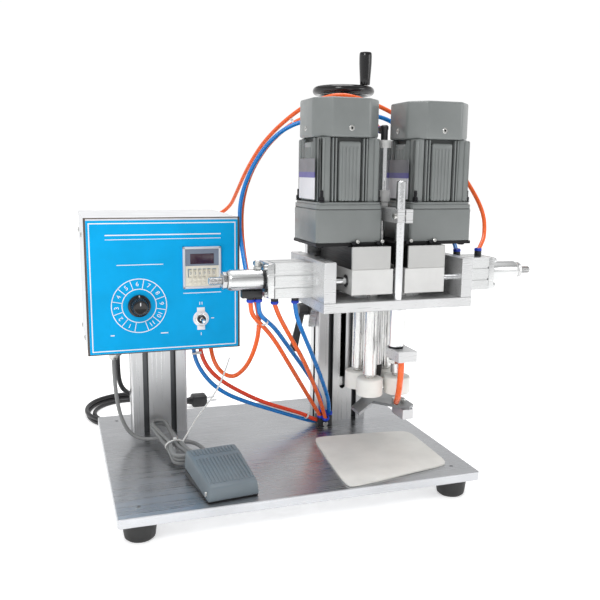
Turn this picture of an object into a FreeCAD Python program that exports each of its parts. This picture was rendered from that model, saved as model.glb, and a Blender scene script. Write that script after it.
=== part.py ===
"""Desktop capping machine with two gear motors and four gripping rollers.

Millimetres, +X to the right, -Y to the operator, +Z up from the table.
The dimensions below are measured from the base plate's centre. Each part is
saved about the machine's own origin, which is on the table under the centre
of the whole machine without its free cords.
"""
import FreeCAD, Part
import math
import os

V = FreeCAD.Vector
X_AXIS, Y_AXIS, Z_AXIS = V(1, 0, 0), V(0, 1, 0), V(0, 0, 1)

# ---- driving dimensions -------------------------------------------------
ORIGIN_X, ORIGIN_Y = 59.5, 16.5              # machine centre, from the base plate centre
BASE_W, BASE_D, BASE_T = 465.0, 365.0, 12.0
FOOT_H, FOOT_R, FOOT_INSET = 25.0, 21.0, 27.0
DECK = FOOT_H + BASE_T                       # top of the base plate
MAT_T = 2.5
MAT_CORNERS = [(45.0, -182.0), (204.5, -151.0), (209.0, -19.0), (61.5, -5.0)]

PROFILE_W, PROFILE_D, SLOT_W = 80.0, 40.0, 8.0
HEAD_X = 133.0                               # centre plane of head and main column
COLUMN_FRONT = 60.5
COLUMN_TOP = 511.0
SCREW_Y = COLUMN_FRONT + PROFILE_D / 2
SCREW_R, SCREW_BOTTOM = 7.0, 106.0
WINDOW_HALF, WINDOW_Z0, WINDOW_Z1 = 4.5, 93.0, 490.0

POST2_X, POST2_Y = -187.5, 81.5              # control column, left front corner
BOX_X0, BOX_X1 = -248.5, -39.5
BOX_Y0, BOX_Y1 = 29.5, 215.5
BOX_Z0, BOX_Z1 = 175.0, 360.0
BOX_WALL, PANEL_T = 1.5, 2.0

HEAD_Y = -68.5                               # roller centre, cap axis
HEAD_HALF = 104.5
HEAD_FRONT, HEAD_BACK = -132.5, 4.5
FLOOR_Z0, FLOOR_Z1, WALL_Z1 = 249.0, 261.5, 313.0
WALL_T = 16.0
AIR_Z = 286.0                                # axis height of cylinders and guide rods
GUIDE_R, GUIDE_DY = 5.0, 38.0

BLOCK_OUT, BLOCK_DY = 65.5, 58.0
LOWER_IN, LOWER_Z0, LOWER_Z1 = 8.5, 269.5, 302.0
UPPER_IN, UPPER_Z1 = 12.5, 331.0
MODULE, PINION_TEETH, ROLLER_TEETH = 1.0, 38, 18
ROLLER_DX, ROLLER_DY = 20.5, 20.0
GEAR_CENTRES = MODULE * (PINION_TEETH + ROLLER_TEETH) / 2
DRIVE_DX = ROLLER_DX + math.sqrt(GEAR_CENTRES ** 2 - ROLLER_DY ** 2)
GEAR_Z0, GEAR_H = 293.5, 8.0
BACKLASH = 0.2

MOTOR_DX, MOTOR_HALF = 64.5, 45.0
GEARBOX_Z0, GEARBOX_Z1, FLANGE_Z1 = 335.0, 377.0, 386.0
FRAME_Z1, COVER_Z1 = 466.0, 514.0

WHEEL_R, WHEEL_Z0, WHEEL_Z1 = 18.0, 125.0, 149.0
SPINDLE_R, SLEEVE_R, SLEEVE_Z0 = 6.0, 9.0, 153.0
SLIDE_TRAVEL = 18.0
PIVOT_R = 3.0                                # upper journal of each roller spindle

CYL_HALF, CYL_L = 22.5, 60.0
PISTON_R, ROD_R, TAIL_R, BARREL_R = 16.0, 6.0, 5.0, 13.5
BARREL_END, TAIL_END = 108.5, 132.0          # from the wall's outer face
RUN = 0.05                                   # running clearance on a radius

POST_Y, POST_R, POST_Z0, POST_Z1 = -123.5, 6.0, 183.0, 413.0
ARM_Z0, ARM_Z1 = 361.0, 378.0
PRESS_R, PRESS_Z0, PRESS_Z1 = 8.5, 385.0, 465.0
PLUNGER_R, PLUNGER_TIP = 4.5, 142.0
NECK_Z0, NECK_Z1 = 101.0, 105.0
WHEEL_RIM_Z, RIM_R, RIM_TUBE = 541.0, 39.5, 6.3
GRIP_ANGLE = -60.0                           # of the grip round the wheel, in degrees
CLAMP_Z = 215.0                              # pivot of the clamp lever
LOWER_ARM_Z1 = 197.0
TEE_Z = 262.0                                # underside of the tube tee
HOSE_TOP, HOSE_END = (134.0, -139.5), (158.5, -79.0)
NECK_BOLT = (37.0, -14.5)                    # from the V plate's vertex

COLLAR_R = 5.5                               # push-in collars of the air block
LEANING_PORTS = [(90.5, 44.0, DECK + 14.0), (98.5, 42.5, DECK + 9.0), (106.0, 50.0, DECK + 14.0)]
UPRIGHT_PORT = (98.0, 53.5, DECK + 15.0)


# ---- small helpers ------------------------------------------------------
def box(x0, x1, y0, y1, z0, z1):
    return Part.makeBox(x1 - x0, y1 - y0, z1 - z0, V(x0, y0, z0))


def rod(radius, start, length, axis=Z_AXIS):
    return Part.makeCylinder(radius, length, V(*start), axis)


def ring(outer, inner, start, length, axis=Z_AXIS):
    return rod(outer, start, length, axis).cut(rod(inner, start, length, axis))


def cut(shape, *tools):
    return shape.cut(list(tools))


def fuse(shape, *others):
    return shape.fuse(list(others)).removeSplitter()


def group(*solids):
    return Part.makeCompound(list(solids))


def prism(points, z0, z1):
    wire = Part.makePolygon([V(x, y, z0) for x, y in points + points[:1]])
    return Part.Face(wire).extrude(V(0, 0, z1 - z0))


def rounded_plate(x0, x1, y0, y1, z0, z1, radius):
    plate = box(x0, x1, y0, y1, z0, z1)
    upright = [e for e in plate.Edges if e.tangentAt(e.FirstParameter).isEqual(Z_AXIS, 1e-6)
               or e.tangentAt(e.FirstParameter).isEqual(-Z_AXIS, 1e-6)]
    return plate.makeFillet(radius, upright)


def hex_nut(across, bore, start, height, axis=Z_AXIS):
    corners = [V(across / math.sqrt(3) * math.cos(a), across / math.sqrt(3) * math.sin(a), 0)
               for a in (math.radians(60 * i + 30) for i in range(7))]
    nut = Part.Face(Part.makePolygon(corners)).extrude(V(0, 0, height))
    nut = nut.cut(rod(bore, (0, 0, 0), height))
    nut.Placement = FreeCAD.Placement(V(*start), FreeCAD.Rotation(Z_AXIS, axis))
    return nut


def cap_screw(start, axis, head_r=4.5, head_h=5.0, shank_r=2.5, shank=10.0):
    """Socket screw: its head sits on the face at start, its shank goes in along axis."""
    head = rod(head_r, tuple(V(*start) - axis * head_h), head_h, axis)
    socket = hex_nut(head_r, 0.5, tuple(V(*start) - axis * head_h), head_h * 0.5, axis)
    return head.cut(socket).fuse(rod(shank_r, start, shank, axis))


def mirrored(shape):
    """The right-hand twin of a left-hand shape, across the head's centre plane."""
    return shape.mirror(V(HEAD_X, 0, 0), X_AXIS)


def save(name, shape):
    shape = shape.copy()
    shape.translate(V(-ORIGIN_X, -ORIGIN_Y, 0))
    shape.exportStep("parts/%s.step" % name)
    solids = shape.Solids
    state = "ok" if shape.isValid() else "INVALID"
    print("%-22s %2d solids %10.0f mm3 %s" % (name, len(solids), shape.Volume, state))


# ---- base, feet and mat -------------------------------------------------
def foot_places():
    dx, dy = BASE_W / 2 - FOOT_INSET, BASE_D / 2 - FOOT_INSET
    return [(sx * dx, sy * dy) for sx in (-1, 1) for sy in (-1, 1)]


def base_plate():
    plate = rounded_plate(-BASE_W / 2, BASE_W / 2, -BASE_D / 2, BASE_D / 2, FOOT_H, DECK, 3.0)
    rims = [e for e in plate.Edges if abs(e.BoundBox.ZMin - e.BoundBox.ZMax) < 1e-6]
    plate = plate.makeChamfer(0.8, rims)
    holes = [rod(2.5, (x, y, FOOT_H), BASE_T) for x, y in foot_places()]
    return cut(plate, *holes)


def rubber_foot(x, y):
    foot = Part.makeCone(FOOT_R - 3.0, FOOT_R, FOOT_H, V(x, y, 0))
    bottom = [e for e in foot.Edges if e.BoundBox.ZMax < 1e-6]
    foot = foot.makeFillet(3.0, bottom)
    return cut(foot, rod(5.0, (x, y, 0), 10.0), rod(2.5, (x, y, 0), FOOT_H))


def foot_screw(x, y):
    return fuse(rod(4.7, (x, y, 5.0), 5.0), rod(2.5, (x, y, 10.0), 25.0))


def bottle_mat():
    """Loose silicone sheet, laid a little askew on the base plate."""
    mat = prism(MAT_CORNERS, DECK, DECK + MAT_T)
    upright = [e for e in mat.Edges if e.BoundBox.ZMax - e.BoundBox.ZMin > MAT_T - 0.1]
    return mat.makeFillet(5.0, upright)


# ---- extruded columns ---------------------------------------------------
def t_slot(x, y, facing, z0, z1):
    """One T-shaped groove whose mouth is at x, y and faces along facing."""
    mouth_d, throat_d, throat_half = 4.5, 5.0, 6.0
    if facing.y:
        s = facing.y
        mouth = box(x - SLOT_W / 2, x + SLOT_W / 2, *sorted((y + s, y - s * mouth_d)), z0, z1)
        a, b = sorted((y - s * mouth_d, y - s * (mouth_d + throat_d)))
        return mouth.fuse(box(x - throat_half, x + throat_half, a, b, z0, z1))
    s = facing.x
    mouth = box(*sorted((x + s, x - s * mouth_d)), y - SLOT_W / 2, y + SLOT_W / 2, z0, z1)
    a, b = sorted((x - s * mouth_d, x - s * (mouth_d + throat_d)))
    return mouth.fuse(box(a, b, y - throat_half, y + throat_half, z0, z1))


def profile(x0, y0, z0, z1):
    """80 x 40 extrusion: two grooves on each wide face and one on each narrow face."""
    bar = rounded_plate(x0, x0 + PROFILE_W, y0, y0 + PROFILE_D, z0, z1, 2.0)
    grooves = []
    for dx in (PROFILE_W / 4, 3 * PROFILE_W / 4):
        grooves.append(t_slot(x0 + dx, y0, -Y_AXIS, z0, z1))
        grooves.append(t_slot(x0 + dx, y0 + PROFILE_D, Y_AXIS, z0, z1))
    grooves.append(t_slot(x0, y0 + PROFILE_D / 2, -X_AXIS, z0, z1))
    grooves.append(t_slot(x0 + PROFILE_W, y0 + PROFILE_D / 2, X_AXIS, z0, z1))
    return cut(bar, *grooves)


def main_column():
    """Extrusion with a channel for the lead screw and a window milled in its front."""
    bar = profile(HEAD_X - PROFILE_W / 2, COLUMN_FRONT, DECK, COLUMN_TOP)
    channel = box(HEAD_X - 12, HEAD_X + 12, COLUMN_FRONT + 6, COLUMN_FRONT + 34, DECK, COLUMN_TOP)
    window = box(HEAD_X - WINDOW_HALF, HEAD_X + WINDOW_HALF, COLUMN_FRONT - 1,
                 COLUMN_FRONT + 7, WINDOW_Z0, WINDOW_Z1)
    ends = [rod(WINDOW_HALF, (HEAD_X, COLUMN_FRONT - 1, z), 8, Y_AXIS)
            for z in (WINDOW_Z0, WINDOW_Z1)]
    return cut(bar, channel, window, *ends)


def control_column():
    bar = profile(POST2_X, POST2_Y, DECK, BOX_Z0)
    mid_x, mid_y = POST2_X + PROFILE_W / 2, POST2_Y + PROFILE_D / 2
    return cut(bar, box(mid_x - 12, mid_x + 12, mid_y - 14, mid_y + 14, DECK, BOX_Z0))


def column_top_plate():
    plate = rounded_plate(HEAD_X - 46, HEAD_X + 46, COLUMN_FRONT - 4, COLUMN_FRONT + 44,
                          COLUMN_TOP, COLUMN_TOP + 10, 4.0)
    return cut(plate, rod(12.0, (HEAD_X, SCREW_Y, COLUMN_TOP), 10.0))


def screw_bearings():
    foot = box(HEAD_X - 12, HEAD_X + 12, COLUMN_FRONT + 6, COLUMN_FRONT + 34, 92.0, SCREW_BOTTOM)
    foot = cut(foot, rod(5 + RUN, (HEAD_X, SCREW_Y, 95.0), 11.0))
    top = ring(12.0, 5 + RUN, (HEAD_X, SCREW_Y, COLUMN_TOP + 1), 8.0)
    return group(foot, top)


# ---- lead screw and handwheel -------------------------------------------
def lead_screw():
    body = rod(SCREW_R, (HEAD_X, SCREW_Y, SCREW_BOTTOM + 0.3), COLUMN_TOP - SCREW_BOTTOM - 1.3)
    tail = rod(5.0, (HEAD_X, SCREW_Y, 96.0), 12.0)
    journal = rod(5.0, (HEAD_X, SCREW_Y, COLUMN_TOP - 2), 36.0)
    return fuse(body, tail, journal)


def handwheel():
    hub = ring(13.0, 5.0, (HEAD_X, SCREW_Y, COLUMN_TOP + 10.5), 24.0)
    rim = Part.makeTorus(RIM_R, RIM_TUBE, V(HEAD_X, SCREW_Y, WHEEL_RIM_Z), Z_AXIS)
    spokes = []
    for i in range(3):
        a = math.radians(GRIP_ANGLE + 120 * i)
        spokes.append(rod(4.5, (HEAD_X + 11 * math.cos(a), SCREW_Y + 11 * math.sin(a),
                                WHEEL_RIM_Z - 8), 29.5, V(math.cos(a), math.sin(a), 0.24)))
    wheel = fuse(hub, rim, *spokes)
    gx, gy = grip_place()
    stud = rod(3.5, (gx, gy, WHEEL_RIM_Z), 55.0)
    return fuse(wheel, stud)


def grip_place():
    a = math.radians(GRIP_ANGLE)
    return HEAD_X + RIM_R * math.cos(a), SCREW_Y + RIM_R * math.sin(a)


def handwheel_grip():
    gx, gy = grip_place()
    z0 = WHEEL_RIM_Z + RIM_TUBE + 0.5
    lower = Part.makeCone(6.5, 9.0, 26.0, V(gx, gy, z0))
    upper = Part.makeCone(9.0, 8.5, 20.0, V(gx, gy, z0 + 26))
    return cut(lower.fuse(upper), rod(3.5 + RUN, (gx, gy, z0 - 1), 52.0))


# ---- control box --------------------------------------------------------
DIAL_X, DIAL_Z = -179.5, 240.8
TIMER_X, TIMER_Z = -93.0, 291.0
SWITCH_X, SWITCH_Z = -95.0, 218.7
GLANDS = [(-213.5, 62.5, 5.5), (-206.5, 84.5, 6.5)]
TUBE_PORTS = [(-76.0, 58.0), (-92.0, 56.0), (-101.5, 57.0)]

BACK_PORTS = [(-70.0, 335.0)]


def box_shell():
    outer = rounded_plate(BOX_X0, BOX_X1, BOX_Y0 + PANEL_T, BOX_Y1, BOX_Z0, BOX_Z1, 2.0)
    inner = box(BOX_X0 + BOX_WALL, BOX_X1 - BOX_WALL, BOX_Y0, BOX_Y1 - BOX_WALL,
                BOX_Z0 + BOX_WALL, BOX_Z1 - BOX_WALL)
    holes = [rod(r, (x, y, BOX_Z0 - 1), 4.0) for x, y, r in GLANDS]
    holes += [rod(4.5, (x, y, BOX_Z0 - 1), 4.0) for x, y in TUBE_PORTS]
    holes += [rod(4.5, (x, BOX_Y1 - 3, z), 6.0, Y_AXIS) for x, z in BACK_PORTS]
    holes += [rod(1.5, (BOX_X0 - 1, y, z), 4.0, X_AXIS) for y, z in box_screw_places()]
    return cut(outer, inner, *holes)


def box_panel():
    panel = rounded_plate(BOX_X0, BOX_X1, BOX_Y0, BOX_Y0 + PANEL_T, BOX_Z0, BOX_Z1, 0.5)
    return cut(panel,
               rod(4.6, (DIAL_X, BOX_Y0 - 1, DIAL_Z), 5, Y_AXIS),
               box(TIMER_X - 22.6, TIMER_X + 22.6, BOX_Y0 - 1, BOX_Y0 + 4,
                   TIMER_Z - 22.6, TIMER_Z + 22.6),
               rod(6.1, (SWITCH_X, BOX_Y0 - 1, SWITCH_Z), 5, Y_AXIS))


def timer_case():
    bezel = box(TIMER_X - 26.5, TIMER_X + 26.5, BOX_Y0 - 5, BOX_Y0, TIMER_Z - 29, TIMER_Z + 29)
    body = box(TIMER_X - 22.5, TIMER_X + 22.5, BOX_Y0, BOX_Y0 + 60,
               TIMER_Z - 22.5, TIMER_Z + 22.5)
    case = bezel.fuse(body)
    display = box(TIMER_X - 16.5, TIMER_X + 16.5, BOX_Y0 - 6, BOX_Y0 - 3,
                  TIMER_Z + 4.5, TIMER_Z + 19)
    wheel_bay = box(TIMER_X - 20.5, TIMER_X + 20.5, BOX_Y0 - 6, BOX_Y0 + 24,
                    TIMER_Z - 21.5, TIMER_Z + 3.5)
    axle_rest = [box(x, x + 1.5, BOX_Y0 - 1, BOX_Y0 + 22, TIMER_Z - 21.5, TIMER_Z + 3.5)
                 for x in (TIMER_X - 20.5, TIMER_X + 19.0)]
    axle = rod(1.5, (TIMER_X - 20.5, BOX_Y0 + 9.0, TIMER_Z - 9.0), 41.0, X_AXIS)
    return fuse(cut(case, display, wheel_bay), *axle_rest, axle)


def timer_wheels():
    """Six digit wheels, side by side on one axle."""
    wheels = []
    for i in range(6):
        x = TIMER_X - 18.6 + 6.3 * i
        wheels.append(ring(11.8, 1.5 + RUN, (x, BOX_Y0 + 9.0, TIMER_Z - 9.0), 5.7, X_AXIS))
    return group(*wheels)


def dial_knob():
    skirt = Part.makeCone(15.5, 14.5, 4.0, V(DIAL_X, BOX_Y0 - 1.0, DIAL_Z), -Y_AXIS)
    cap = Part.makeCone(11.5, 10.0, 13.0, V(DIAL_X, BOX_Y0 - 5.0, DIAL_Z), -Y_AXIS)
    shaft = rod(3.0, (DIAL_X, BOX_Y0 - 1.5, DIAL_Z), 12.0, Y_AXIS)
    return fuse(skirt, cap, shaft)


def box_electronics():
    """Bought-in devices behind the panel: potentiometer, switch body, board, two valves."""
    pot = fuse(rod(11.0, (DIAL_X, BOX_Y0 + PANEL_T, DIAL_Z), 15, Y_AXIS),
               rod(4.5, (DIAL_X, BOX_Y0 - 0.7, DIAL_Z), 3.0, Y_AXIS))
    pot = cut(pot, rod(3.0 + RUN, (DIAL_X, BOX_Y0 - 1, DIAL_Z), 13.0, Y_AXIS))
    socket = box(SWITCH_X - 7, SWITCH_X + 7, BOX_Y0 + PANEL_T, BOX_Y0 + 22,
                 SWITCH_Z - 12, SWITCH_Z + 12)
    bushing = rod(6.0, (SWITCH_X, BOX_Y0 - 8, SWITCH_Z), 10.5, Y_AXIS)
    cup = Part.makeSphere(4.55, V(SWITCH_X, BOX_Y0 - 5.0, SWITCH_Z))
    mouth = Part.makeCone(2.6, 5.2, 7.0, V(SWITCH_X, BOX_Y0 - 5.0, SWITCH_Z), -Y_AXIS)
    switch = cut(fuse(socket, bushing), cup, mouth)
    board = box(BOX_X0 + 20, BOX_X0 + 140, BOX_Y1 - 20, BOX_Y1 - 18, BOX_Z0 + 40, BOX_Z0 + 130)
    transformer = box(BOX_X0 + 20, BOX_X0 + 75, BOX_Y1 - 60, BOX_Y1 - 10,
                      BOX_Z0 + BOX_WALL, BOX_Z0 + 38)
    valves = [box(BOX_X1 - 110 + 34 * i, BOX_X1 - 86 + 34 * i, BOX_Y1 - 80, BOX_Y1 - 35,
                  BOX_Z0 + BOX_WALL, BOX_Z0 + 45) for i in range(2)]
    return group(pot, switch, board, transformer, *valves)


def toggle_lever():
    ball = Part.makeSphere(4.5, V(SWITCH_X, BOX_Y0 - 5.0, SWITCH_Z))
    stick = Part.makeCone(1.8, 2.8, 17.0, V(SWITCH_X, BOX_Y0 - 6.0, SWITCH_Z), -Y_AXIS)
    return fuse(ball, stick)


def box_screw_places():
    return [(BOX_Y0 + 80.0, BOX_Z1 - 28.0), (BOX_Y0 + 80.0, BOX_Z0 + 8.0),
            (BOX_Y1 - 12.0, BOX_Z1 - 28.0), (BOX_Y1 - 12.0, BOX_Z0 + 8.0)]


def base_screws():
    """Foot screws, the box's side screws and the sensor on the column's left groove."""
    feet = [foot_screw(x, y) for x, y in foot_places()]
    sides = [cap_screw((BOX_X0, y, z), X_AXIS, 3.5, 2.0, 1.5, 5.0)
             for y, z in box_screw_places()]
    return group(*feet, *sides)


def glands_and_manifold():
    """Two cord glands under the box and the air block on the base plate."""
    pieces = []
    for x, y, r in GLANDS:
        bore = r - 2.5
        gland = fuse(hex_nut(2 * r + 5, bore, (x, y, BOX_Z0 - 7.0), 6.9),
                     ring(r + 1.0, bore, (x, y, BOX_Z0 - 15.0), 8.5),
                     ring(r, bore, (x, y, BOX_Z0 - 1.0), 4.0))
        pieces.append(gland)
    block = box(86.5, 109.5, 40.5, 58.5, DECK, DECK + 16.0)
    leaning = -Y_AXIS * 0.55 + Z_AXIS * 0.835
    collars = [rod(COLLAR_R, port, 7.0, leaning) for port in LEANING_PORTS]
    collars.append(rod(COLLAR_R, UPRIGHT_PORT, 6.0))
    tubes = [cord(points, TUBE_R) for points in TUBE_ROUTES]
    pieces.append(cut(fuse(block, *collars), *tubes))
    return group(*pieces)


# ---- head: fixed frame on the carriage ----------------------------------
def spindle_slots():
    slots = []
    for side in (-1, 1):
        for sy in (-1, 1):
            y = HEAD_Y + sy * ROLLER_DY
            a = HEAD_X + side * (ROLLER_DX - 0.5)
            b = HEAD_X + side * (ROLLER_DX + SLIDE_TRAVEL + 0.5)
            slots.append(box(min(a, b), max(a, b), y - 11, y + 11, FLOOR_Z0 - 1, FLOOR_Z1 + 1))
            slots.append(rod(11.0, (a, y, FLOOR_Z0 - 1), 15))
            slots.append(rod(11.0, (b, y, FLOOR_Z0 - 1), 15))
    return slots


def head_floor():
    floor = box(HEAD_X - HEAD_HALF, HEAD_X + HEAD_HALF, HEAD_FRONT, HEAD_BACK,
                FLOOR_Z0, FLOOR_Z1)
    rim = [e for e in floor.Edges if abs(e.BoundBox.YMin - e.BoundBox.YMax) < 1e-6]
    floor = floor.makeChamfer(0.6, rim)
    return cut(floor, *spindle_slots(),
               rod(PLUNGER_R + 1.5, (HEAD_X, HEAD_Y, FLOOR_Z0 - 1), 15),
               rod(POST_R, (HEAD_X, POST_Y, FLOOR_Z0 - 1), 15))


def left_wall():
    x0 = HEAD_X - HEAD_HALF
    wall = box(x0, x0 + WALL_T, HEAD_FRONT, HEAD_BACK, FLOOR_Z1, WALL_Z1)
    wall = wall.makeChamfer(0.8, wall.Edges)
    holes = [rod(GUIDE_R, (x0 - 1, HEAD_Y + s * GUIDE_DY, AIR_Z), 18, X_AXIS) for s in (-1, 1)]
    holes.append(rod(ROD_R + 1.0, (x0 - 1, HEAD_Y, AIR_Z), 18, X_AXIS))
    holes += [rod(3.0, (x0 + 8, y, WALL_Z1 - 12), 13) for y in (-118.0, -96.0, -12.0)]
    return cut(wall, *holes)


def column_slider():
    """Dark bracket behind the head; it slides on the column's front face."""
    plate = box(HEAD_X - 80, HEAD_X + 80, HEAD_BACK, HEAD_BACK + 12, FLOOR_Z0, 337.0)
    web = box(HEAD_X - 40, HEAD_X + 40, HEAD_BACK + 12, COLUMN_FRONT - 0.4, FLOOR_Z0, 337.0)
    tongue = box(HEAD_X - 4, HEAD_X + 4, COLUMN_FRONT - 1, COLUMN_FRONT + 9.5, 272.0, 312.0)
    cheek = fuse(box(HEAD_X - 52, HEAD_X - 40.5, COLUMN_FRONT - 25, COLUMN_FRONT + 34,
                     FLOOR_Z0 - 62, 300.0),
                 box(HEAD_X - 41, HEAD_X - 39, COLUMN_FRONT - 25, COLUMN_FRONT - 0.4,
                     FLOOR_Z0, 300.0))
    arch = Part.makeCylinder(40.0, 30.0, V(HEAD_X - 60, COLUMN_FRONT - 25, FLOOR_Z0 - 62), X_AXIS)
    cheek = cut(cheek, arch,
                rod(4 + RUN, (HEAD_X - 60, SCREW_Y, CLAMP_Z), 30, X_AXIS))
    hanger = box(HEAD_X + 12, HEAD_X + 38, COLUMN_FRONT - 7, COLUMN_FRONT - 1, NECK_Z1, FLOOR_Z0)
    foot = box(HEAD_X + 12, HEAD_X + 38, COLUMN_FRONT - 32, COLUMN_FRONT - 1,
               NECK_Z1, NECK_Z1 + 6)
    holes = [rod(2.5, (HEAD_X + x, COLUMN_FRONT - 24, NECK_Z1 - 1), 8) for x in (18, 32)]
    return cut(fuse(plate, web, tongue, cheek, hanger, foot), *holes)


def lead_nut():
    nut = box(HEAD_X - 11, HEAD_X + 11, COLUMN_FRONT + 9.5, COLUMN_FRONT + 31, 272.0, 312.0)
    return cut(nut, rod(SCREW_R + RUN, (HEAD_X, SCREW_Y, 271), 42))


def carriage_rods():
    """Two guide rods for the sliders, and the front post with its sleeve."""
    guides = [rod(GUIDE_R, (HEAD_X - HEAD_HALF, HEAD_Y + s * GUIDE_DY, AIR_Z),
                  2 * HEAD_HALF, X_AXIS) for s in (-1, 1)]
    post = rod(POST_R, (HEAD_X, POST_Y, POST_Z0), POST_Z1 - POST_Z0)
    post = post.makeChamfer(1.0, [e for e in post.Edges if e.BoundBox.ZMin > POST_Z1 - 1e-3])
    sleeve = ring(9.5, POST_R, (HEAD_X, POST_Y, LOWER_ARM_Z1), FLOOR_Z0 - LOWER_ARM_Z1)
    return group(*guides, post, sleeve)


def post_arms():
    """Upper clamp that carries the press cylinder, and the lower outrigger."""
    upper = box(HEAD_X - 10.5, HEAD_X + 10.5, POST_Y - 15, HEAD_Y + 13, ARM_Z0, ARM_Z1)
    slit = box(HEAD_X - 1, HEAD_X + 1, POST_Y - 16, POST_Y, ARM_Z0 - 1, ARM_Z1 + 1)
    upper = cut(upper, slit, rod(POST_R, (HEAD_X, POST_Y, ARM_Z0 - 1), 20),
                rod(5.0, (HEAD_X, HEAD_Y, ARM_Z0 - 1), 20),
                rod(2.5, (HEAD_X - 11, POST_Y - 10.5, ARM_Z0 + 8.5), 19.5, X_AXIS))
    lower = box(HEAD_X - 7.5, HEAD_X + 18.5, POST_Y - 25, POST_Y + 15, POST_Z0, LOWER_ARM_Z1)
    lower = cut(lower, rod(POST_R, (HEAD_X, POST_Y, POST_Z0 - 1), 16),
                rod(4.0, (HOSE_TOP[0], HOSE_TOP[1], POST_Z0 - 1), 9))
    return group(upper, lower)


def cylinder_body():
    """Square cylinder on the left wall, with its round stroke adjuster at the back."""
    x1 = HEAD_X - HEAD_HALF
    x0 = x1 - CYL_L
    body = box(x0, x1, HEAD_Y - CYL_HALF, HEAD_Y + CYL_HALF, AIR_Z - CYL_HALF, AIR_Z + CYL_HALF)
    along = [e for e in body.Edges if abs(e.BoundBox.XMax - e.BoundBox.XMin) > CYL_L - 1]
    body = body.makeChamfer(1.5, along)
    groove_z = (AIR_Z - 8.0, AIR_Z + 8.0)
    grooves = [box(x0 - 1, x1 + 1, y - 2, y + 2, z - 2, z + 2)
               for z in groove_z for y in (HEAD_Y - CYL_HALF, HEAD_Y + CYL_HALF)]
    barrel = rod(BARREL_R, (x1 - BARREL_END, HEAD_Y, AIR_Z), BARREL_END - CYL_L + 1, X_AXIS)
    chamber = rod(PISTON_R, (x0 + 8, HEAD_Y, AIR_Z), CYL_L - 18, X_AXIS)
    return cut(fuse(body, barrel), chamber, *grooves,
               rod(ROD_R + RUN, (x1 - 20, HEAD_Y, AIR_Z), 21, X_AXIS),
               rod(TAIL_R + RUN, (x1 - BARREL_END - 1, HEAD_Y, AIR_Z), BARREL_END, X_AXIS))


def press_cylinder():
    tube = rod(PRESS_R, (HEAD_X, HEAD_Y, PRESS_Z0), PRESS_Z1 - PRESS_Z0)
    nose = rod(5.0, (HEAD_X, HEAD_Y, ARM_Z0), PRESS_Z0 - ARM_Z0)
    seat = hex_nut(15.0, 4.9, (HEAD_X, HEAD_Y, ARM_Z1), PRESS_Z0 - ARM_Z1)
    barrel = fuse(tube, nose, seat)
    return cut(barrel, rod(7.0, (HEAD_X, HEAD_Y, PRESS_Z0 + 8), 62),
               rod(PLUNGER_R - 1.5 + RUN, (HEAD_X, HEAD_Y, ARM_Z0 - 1), 40))


def air_cylinders():
    left = cylinder_body()
    return group(left, mirrored(left), press_cylinder())


def push_fitting(x, y, z, axis):
    body = ring(4.5, 1.8, (x, y, z), 7.0, axis)
    start = tuple(V(x, y, z) + axis * 7.0)
    return fuse(body, ring(5.0, 3.0, start, 4.0, axis))


def tube_fittings():
    """Push fittings: barrel top, tee under it, left underside, right top, press elbow."""
    x0, x1, body = HEAD_X - HEAD_HALF, HEAD_X + HEAD_HALF, CYL_HALF
    barrel = rod(BARREL_R, (x0 - BARREL_END, HEAD_Y, AIR_Z), BARREL_END, X_AXIS)
    tee = fuse(box(x0 - 90, x0 - 62, HEAD_Y - 5.5, HEAD_Y + 5.5, TEE_Z, TEE_Z + 10.4),
               *[rod(5.0, (x0 - dx, HEAD_Y, TEE_Z), 6.0, -Z_AXIS) for dx in (77.5, 67.0)],
               rod(5.0, (x0 - 72.5, HEAD_Y + 5.5, 267.0), 6.0, Y_AXIS))
    pieces = [cut(push_fitting(x0 - 68, HEAD_Y, AIR_Z + BARREL_R - 0.5, Z_AXIS), barrel),
              push_fitting(x0 - 45, HEAD_Y, AIR_Z - body, -Z_AXIS),
              push_fitting(x0 - 17, HEAD_Y, AIR_Z - body, -Z_AXIS), tee]
    pieces += [push_fitting(x1 + dx, HEAD_Y, AIR_Z + body, Z_AXIS) for dx in (12, 46)]
    elbow = fuse(rod(4.5, (HEAD_X, HEAD_Y, PRESS_Z1), 18.0),
                 rod(5.0, (HEAD_X, HEAD_Y + 2, PRESS_Z1 + 14), 12.0, Y_AXIS))
    pieces.append(elbow)
    tubes = [cord(points, TUBE_R) for points in TUBE_ROUTES]
    return group(*[cut(piece, *tubes) for piece in pieces])


def neck_guide():
    """V plate under the rollers that centres a bottle's neck, with its clamp strip."""
    vx, vy = HEAD_X, HEAD_Y + 9.0
    outline = [(vx, vy), (vx - 40, vy - 42), (vx - 40, vy - 14), (vx - 8, vy + 22),
               (vx + 12, vy + 44), (vx + 12, COLUMN_FRONT - 1), (vx + 38, COLUMN_FRONT - 1),
               (vx + 38, vy + 56), (vx + 47, vy + 40), (vx + 47, vy - 30), (vx + 35, vy - 41)]
    plate = prism(outline, NECK_Z0, NECK_Z1)
    strip = box(vx + 27, vx + 43, vy - 38, vy - 4, NECK_Z0 - 14, NECK_Z0)
    bolt = (vx + NECK_BOLT[0], vy + NECK_BOLT[1])
    holes = [rod(2.5, (HEAD_X + x, COLUMN_FRONT - 24, NECK_Z0 - 1), 8) for x in (18, 32)]
    plate = cut(plate, *holes, rod(3.0, (*bolt, NECK_Z0 - 1), 6))
    strip = cut(strip, rod(3.0, (*bolt, NECK_Z0 - 9), 10))
    return group(plate, strip)


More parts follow.
